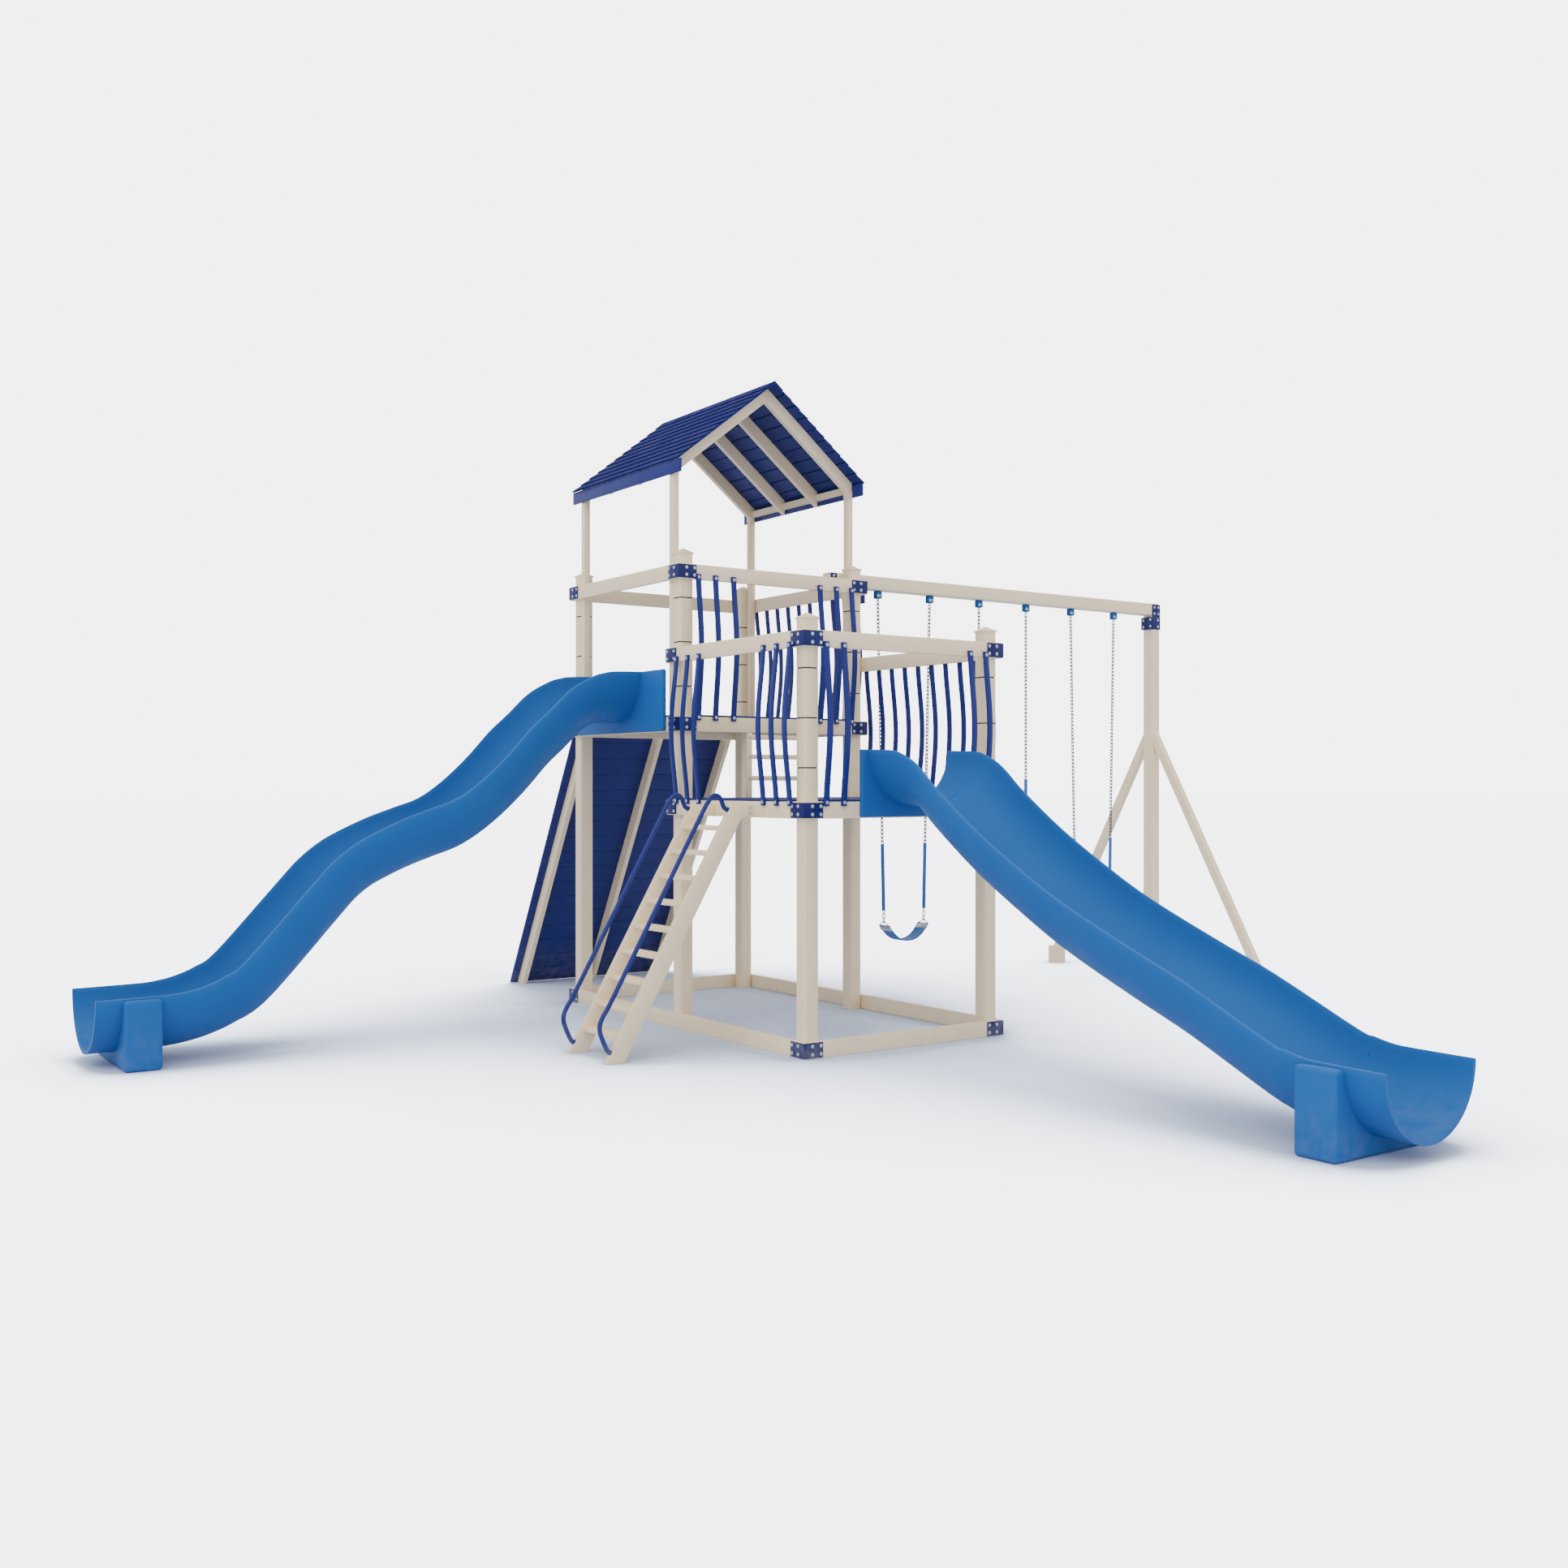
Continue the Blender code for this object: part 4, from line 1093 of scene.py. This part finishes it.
def add_link():
    """Oval chain link with its long way on Z."""
    deselect()
    bpy.ops.mesh.primitive_torus_add(
        major_radius=0.0100, minor_radius=0.0040, major_segments=16, minor_segments=8,
        rotation=(math.pi / 2, 0, 0),
    )
    made = active()
    bpy.ops.object.transform_apply(location=True, rotation=True, scale=True)
    for vert in made.data.vertices:
        if abs(vert.co.z) > 1e-4:
            vert.co.z += math.copysign(0.0085, vert.co.z)
    made.data.materials.append(chain_steel)
    return made


link = add_link()
LINK_PITCH = 0.0304


def chain_run(top, bottom):
    """Links between two points, each turned a quarter from the last."""
    top = Vector(top)
    bottom = Vector(bottom)
    along = bottom - top
    count = max(round(along.length / LINK_PITCH), 1)
    turn = Vector((0, 0, -1)).rotation_difference(along).to_matrix().to_4x4()
    made = []
    for k in range(count):
        at = top + along * ((k + 0.5) / count)
        made.append(copy_of(link, Matrix.Translation(at) @ turn
                            @ Matrix.Rotation(math.pi / 2 * (k % 2), 4, "Z")))
    return made


RING_WIRE = 0.0038
RING_BEND = 0.008


def add_ring(y, z):
    """Triangular wire ring that spreads the chain to the belt's width."""
    corners = [(0.0, 0.010), (-0.0605, -0.024), (0.0605, -0.024)]
    path = []
    for k in range(3):
        a = Vector(corners[k])
        b = Vector(corners[(k + 1) % 3])
        before = Vector(corners[k - 1])
        into = (a - before).normalized() * RING_BEND
        away = (b - a).normalized() * RING_BEND
        for t in (0.0, 0.25, 0.5, 0.75, 1.0):
            path.append((a - into) * (1 - t) ** 2 + a * 2 * t * (1 - t) + (a + away) * t * t)
    rings = []
    count = len(path)
    for k in range(count):
        mean = (path[(k + 1) % count] - path[k - 1]).normalized()
        side = Vector((-mean[1], mean[0]))
        ring = []
        for j in range(10):
            angle = 2 * math.pi * j / 10
            at = path[k] + side * RING_WIRE * math.cos(angle)
            ring.append((BEAM_X + at[0], y + RING_WIRE * math.sin(angle), z + at[1]))
        rings.append(ring)
    rings.append(rings[0])
    made = add_skin(rings, zinc, closed_ends=False)
    take(made)
    bpy.ops.object.mode_set(mode="EDIT")
    bpy.ops.mesh.select_all(action="SELECT")
    bpy.ops.mesh.remove_doubles(threshold=0.00001)
    bpy.ops.mesh.normals_make_consistent(inside=False)
    bpy.ops.object.mode_set(mode="OBJECT")
    return made


def add_sleeve(top, bottom):
    top = Vector(top)
    bottom = Vector(bottom)
    middle = (top + bottom) / 2
    return add_turned(0.0145, (top - bottom).length, middle, top - bottom, belt_blue, 0.004, 24)


def hang_chain(label, side, top_y, low_y, low_z, sleeve, ring):
    body = f"{label}_swing"
    top = Vector((BEAM_X, top_y, PIVOT_Z))
    bottom = Vector((BEAM_X, low_y, low_z))

    def at_height(z):
        return top.lerp(bottom, (PIVOT_Z - z) / (PIVOT_Z - low_z))

    parts = chain_run(top, at_height(sleeve[0] - 0.01)) + chain_run(at_height(sleeve[1] + 0.01), bottom)
    if ring:
        parts.append(add_ring(low_y, low_z))
    node = f"{label}_swing_chain_{side}"
    assemble(node + ".links", parts, body, (node,), 50)
    assemble(node + ".sleeve", [add_sleeve(at_height(sleeve[0]), at_height(sleeve[1]))],
             body)


SEAT_LOW = 0.482


def add_belt(label, y_low, y_high, top_z):
    """Moulded belt with a rolled edge and a riveted clamp at each end."""
    middle = (y_low + y_high) / 2
    half = (y_high - y_low) / 2
    curve = []
    for k in range(41):
        a = -1 + 2 * k / 40
        curve.append(Vector((middle + half * a, SEAT_LOW + (top_z - SEAT_LOW) * abs(a) ** 2.4)))
    section = [
        (-0.065, 0.003), (-0.062, 0.0005), (-0.05, 0.0), (0.05, 0.0), (0.062, 0.0005), (0.065, 0.003),
        (0.065, 0.008), (0.062, 0.0112), (0.055, 0.012), (0.048, 0.009), (-0.048, 0.009),
        (-0.055, 0.012), (-0.062, 0.0112), (-0.065, 0.008),
    ]
    rings = []
    for point, normal in zip(curve, side_normals(curve)):
        rings.append([
            (BEAM_X + a, point[0] + normal[0] * d, point[1] + normal[1] * d) for a, d in section
        ])
    belt = add_skin(rings, belt_blue)
    parts = []
    for index, sign in ((0, 1), (len(curve) - 1, -1)):
        inner = curve[index + sign * 4]
        run = (curve[index] - inner)
        centre = (curve[index] + inner) / 2
        plate_in = add_block((-0.0655, 0.0655), (-0.008, 0.008), (-0.022, 0.022), zinc, 0.003)
        turn = Vector((0, 0, 1)).rotation_difference(Vector((0, run[0], run[1]))).to_matrix().to_4x4()
        plate_in.data.transform(Matrix.Translation((BEAM_X, centre[0], centre[1] + 0.004)) @ turn)
        parts.append(plate_in)
        across = turn.to_3x3() @ Vector((0, sign, 0))
        for x in (-0.04, 0.0, 0.04):
            spot = Vector((BEAM_X + x, centre[0], centre[1] + 0.004)) - across * 0.008
            parts.append(bolt_at(spot, -across))
    node = f"{label}_swing_seat"
    assemble(node + ".belt", [belt], f"{label}_swing", (node,), 60)
    assemble(node + ".clamps", parts, f"{label}_swing")


BAR_Z = 1.235

for label, hangers, lows, low_z, sleeve, ring in (
    ("near", (1.868, 2.405), (1.930, 2.341), 0.635, (1.261, 0.730), True),
    ("middle", (2.942, 3.479), (2.942, 3.479), 1.2535, (1.780, 1.300), False),
    ("far", (4.016, 4.553), (4.075, 4.502), 0.635, (1.261, 0.730), True),
):
    for side, top_y, low_y in zip(("inner", "outer"), hangers, lows):
        hang_chain(label, side, top_y, low_y, low_z, sleeve, ring)
    if ring:
        add_belt(label, lows[0], lows[1], low_z - 0.0245)
    else:
        start = Vector((BEAM_X, lows[0] - 0.045, BAR_Z))
        end = Vector((BEAM_X, lows[1] + 0.045, BAR_Z))
        parts = [add_turned(0.0125, (end - start).length - 0.01, (start + end) / 2, (0, 1, 0),
                            chain_steel, 0.002, 24)]
        for y, wide in (
            (lows[0] - 0.035, 0.02), (lows[1] + 0.035, 0.02), (sum(lows) / 2, 0.40),
        ):
            parts.append(add_turned(0.0169, wide, (BEAM_X, y, BAR_Z), (0, 1, 0), belt_blue, 0.004, 24))
        assemble("middle_swing_bar.grip", parts, "middle_swing", ("middle_swing_bar",))
discard(link, bolt)


# ------------------------------------------------------- frame nodes kept as is

for node, material in (
    ("roof_frame", cream), ("swing_brace_left", cream), ("swing_brace_right", cream),
    ("climbing_wall_stringer_front", cream), ("climbing_wall_stringer_middle", cream),
    ("climbing_wall_stringer_back", cream),
):
    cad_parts[node].material_slots[0].material = material


# ---------------------------------------------------------------------- stage


# Seen straight by the camera only; the object is lit by the dimmer sky and suns
BACKDROP = 5.4
FLOOR_GLOW = 4.1


def build_stage():
    deselect()
    bpy.ops.mesh.primitive_plane_add(size=400, location=(0, 0, -0.0005))
    floor = active()
    floor.name = "floor"
    pale = bpy.data.materials.new("pale_floor")
    pale.use_nodes = True
    shader = pale.node_tree.nodes["Principled BSDF"]
    # Blue-grey base colour. It shows under the suns' real shadows and where the painted shadow dims the
    # glow.
    shader.inputs["Base Color"].default_value = (0.58, 0.66, 0.82, 1)
    shader.inputs["Roughness"].default_value = 0.9
    shader.inputs["Specular IOR Level"].default_value = 0.1
    tree = pale.node_tree
    glow = tree.nodes.new("ShaderNodeEmission")
    glow.inputs["Color"].default_value = (0.985, 0.99, 1.0, 1)
    seen = tree.nodes.new("ShaderNodeLightPath").outputs["Is Camera Ray"]
    # Painted floor shadow: ambient occlusion near the set dims the camera-only glow and tints it blue,
    # so the floor darkens under and around the playset.
    nearby = tree.nodes.new("ShaderNodeAmbientOcclusion")
    nearby.inputs["Distance"].default_value = 3.6
    nearby.samples = 16
    clear_of_painted_shadow = remap(tree, nearby.outputs["AO"], 0.58, 0.98, 0.0, 1.0)
    amount = multiply(tree, remap(tree, seen, 0.0, 1.0, 0.0, FLOOR_GLOW), clear_of_painted_shadow)
    tree.links.new(amount, glow.inputs["Strength"])
    tree.links.new(
        blend_colour(tree, clear_of_painted_shadow, (0.62, 0.74, 1.0, 1), (1.0, 0.985, 1.0, 1)), glow.inputs["Color"]
    )
    both = tree.nodes.new("ShaderNodeAddShader")
    tree.links.new(shader.outputs[0], both.inputs[0])
    tree.links.new(glow.outputs[0], both.inputs[1])
    tree.links.new(both.outputs[0], tree.nodes["Material Output"].inputs["Surface"])
    floor.data.materials.append(pale)


def add_sun(name, strength, angle, turn):
    data = bpy.data.lights.new(name, "SUN")
    data.energy = strength
    data.angle = math.radians(angle)
    lamp = bpy.data.objects.new(name, data)
    lamp.rotation_euler = [math.radians(a) for a in turn]
    bpy.context.scene.collection.objects.link(lamp)


build_stage()
add_sun("key", 1.3, 60, (38, 0, 20))
add_sun("fill", 0.35, 90, (30, 0, 120))

world = bpy.data.worlds.new("studio")
world.use_nodes = True
sky = world.node_tree.nodes["Background"]
sky.inputs["Color"].default_value = (1.0, 0.99, 1.0, 1)
seen = world.node_tree.nodes.new("ShaderNodeLightPath").outputs["Is Camera Ray"]
brightness = remap(world.node_tree, seen, 0.0, 1.0, 1.3, BACKDROP)
world.node_tree.links.new(brightness, sky.inputs["Strength"])
bpy.context.scene.world = world

lens = bpy.data.cameras.new("camera")
lens.sensor_width = 36.0
lens.lens = 35.27
camera = bpy.data.objects.new("camera", lens)
camera.location = (9.459, -5.731, 1.738)
camera.rotation_euler = (math.radians(90), 0, math.radians(55.03))
bpy.context.scene.collection.objects.link(camera)
bpy.context.scene.camera = camera
